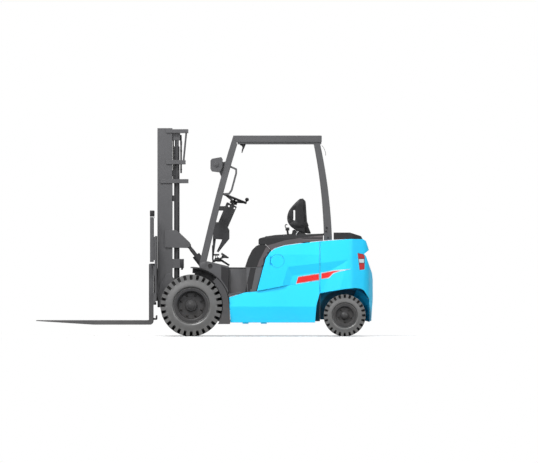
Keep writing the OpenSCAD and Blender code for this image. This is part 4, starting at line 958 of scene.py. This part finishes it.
floor_mesh = bpy.data.meshes.new("floor")
corners = [(x * FLOOR_HALF, y * FLOOR_HALF, 0) for x, y in ((-1, -1), (1, -1), (1, 1), (-1, 1))]
floor_mesh.from_pydata(corners, [], [[0, 1, 2, 3]])
floor = bpy.data.objects.new("floor", floor_mesh)
bpy.context.scene.collection.objects.link(floor)
floor_graph = Graph("floor")
watched = floor_graph.add("ShaderNodeLightPath").outputs["Is Camera Ray"]
pale = floor_graph.mix(watched, FLOOR_BOUNCE, FLOOR_SEEN)
floor_graph.link(pale, floor_graph.shader.inputs["Base Color"])
floor_graph.shader.inputs["Roughness"].default_value = 0.9
floor_graph.shader.inputs["Specular IOR Level"].default_value = 0.1
glow = floor_graph.add("ShaderNodeEmission")
blend = floor_graph.add("ShaderNodeMixShader")
reach = floor_graph.add("ShaderNodeVectorMath", operation="LENGTH")
squeeze = floor_graph.add("ShaderNodeMapping")
squeeze.inputs["Scale"].default_value = (0.36, 0.8, 1.0)
squeeze.inputs["Location"].default_value = (0.1, 0.0, 0.0)
floor_graph.link(floor_graph.coords, squeeze.inputs["Vector"])
floor_graph.link(squeeze.outputs["Vector"], reach.inputs[0])
fade = floor_graph.remap(reach.outputs["Value"], 0.75, 1.25, 0.0, 1.0)
floor_graph.link(floor_graph.maths("MULTIPLY", fade, watched), blend.inputs["Fac"])
floor_graph.link(floor_graph.shader.outputs["BSDF"], blend.inputs[1])
floor_graph.link(glow.outputs["Emission"], blend.inputs[2])
floor_graph.link(blend.outputs["Shader"], floor_graph.tree.nodes["Material Output"].inputs["Surface"])
floor_mesh.materials.append(floor_graph.material)

world = bpy.data.worlds.new("studio")
bpy.context.scene.world = world
world.use_nodes = True
tree = world.node_tree
background = tree.nodes["Background"]
path = tree.nodes.new("ShaderNodeLightPath")
seen = tree.nodes.new("ShaderNodeMath")
seen.operation = "MAXIMUM"
tree.links.new(path.outputs["Is Camera Ray"], seen.inputs[0])
tree.links.new(path.outputs["Is Glossy Ray"], seen.inputs[1])
through = tree.nodes.new("ShaderNodeMath")
through.operation = "MAXIMUM"
tree.links.new(seen.outputs["Value"], through.inputs[0])
tree.links.new(path.outputs["Is Transmission Ray"], through.inputs[1])
level = tree.nodes.new("ShaderNodeMapRange")
level.inputs["To Min"].default_value = AMBIENT
level.inputs["To Max"].default_value = 1.0
tree.links.new(through.outputs["Value"], level.inputs["Value"])
tree.links.new(level.outputs["Result"], background.inputs["Strength"])
background.inputs["Color"].default_value = (1, 1, 1, 1)


def softbox(name, place, target, size, power):
    """A rectangular lamp that looks at a target."""
    data = bpy.data.lights.new(name, "AREA")
    data.shape = "RECTANGLE"
    data.size, data.size_y = size
    data.energy = power
    lamp = bpy.data.objects.new(name, data)
    bpy.context.scene.collection.objects.link(lamp)
    lamp.location = place
    lamp.rotation_euler = (Vector(target) - Vector(place)).to_track_quat("-Z", "Y").to_euler()


softbox("key", (2.6, 4.6, 7.0), (-0.6, 0.3, 0.8), size=(4.0, 3.0), power=780)
softbox("front", (2.4, 9.5, 3.9), (-0.3, 0.4, 0.6), size=(2.2, 2.2), power=210)
softbox("side", (-4.8, 5.5, 3.2), (-0.8, 0.3, 0.8), size=(4.0, 3.0), power=215)
softbox("back", (-2.0, -6.0, 6.0), (-0.6, -0.3, 0.8), size=(5.0, 4.0), power=430)

bpy.context.scene.view_settings.view_transform = "Standard"
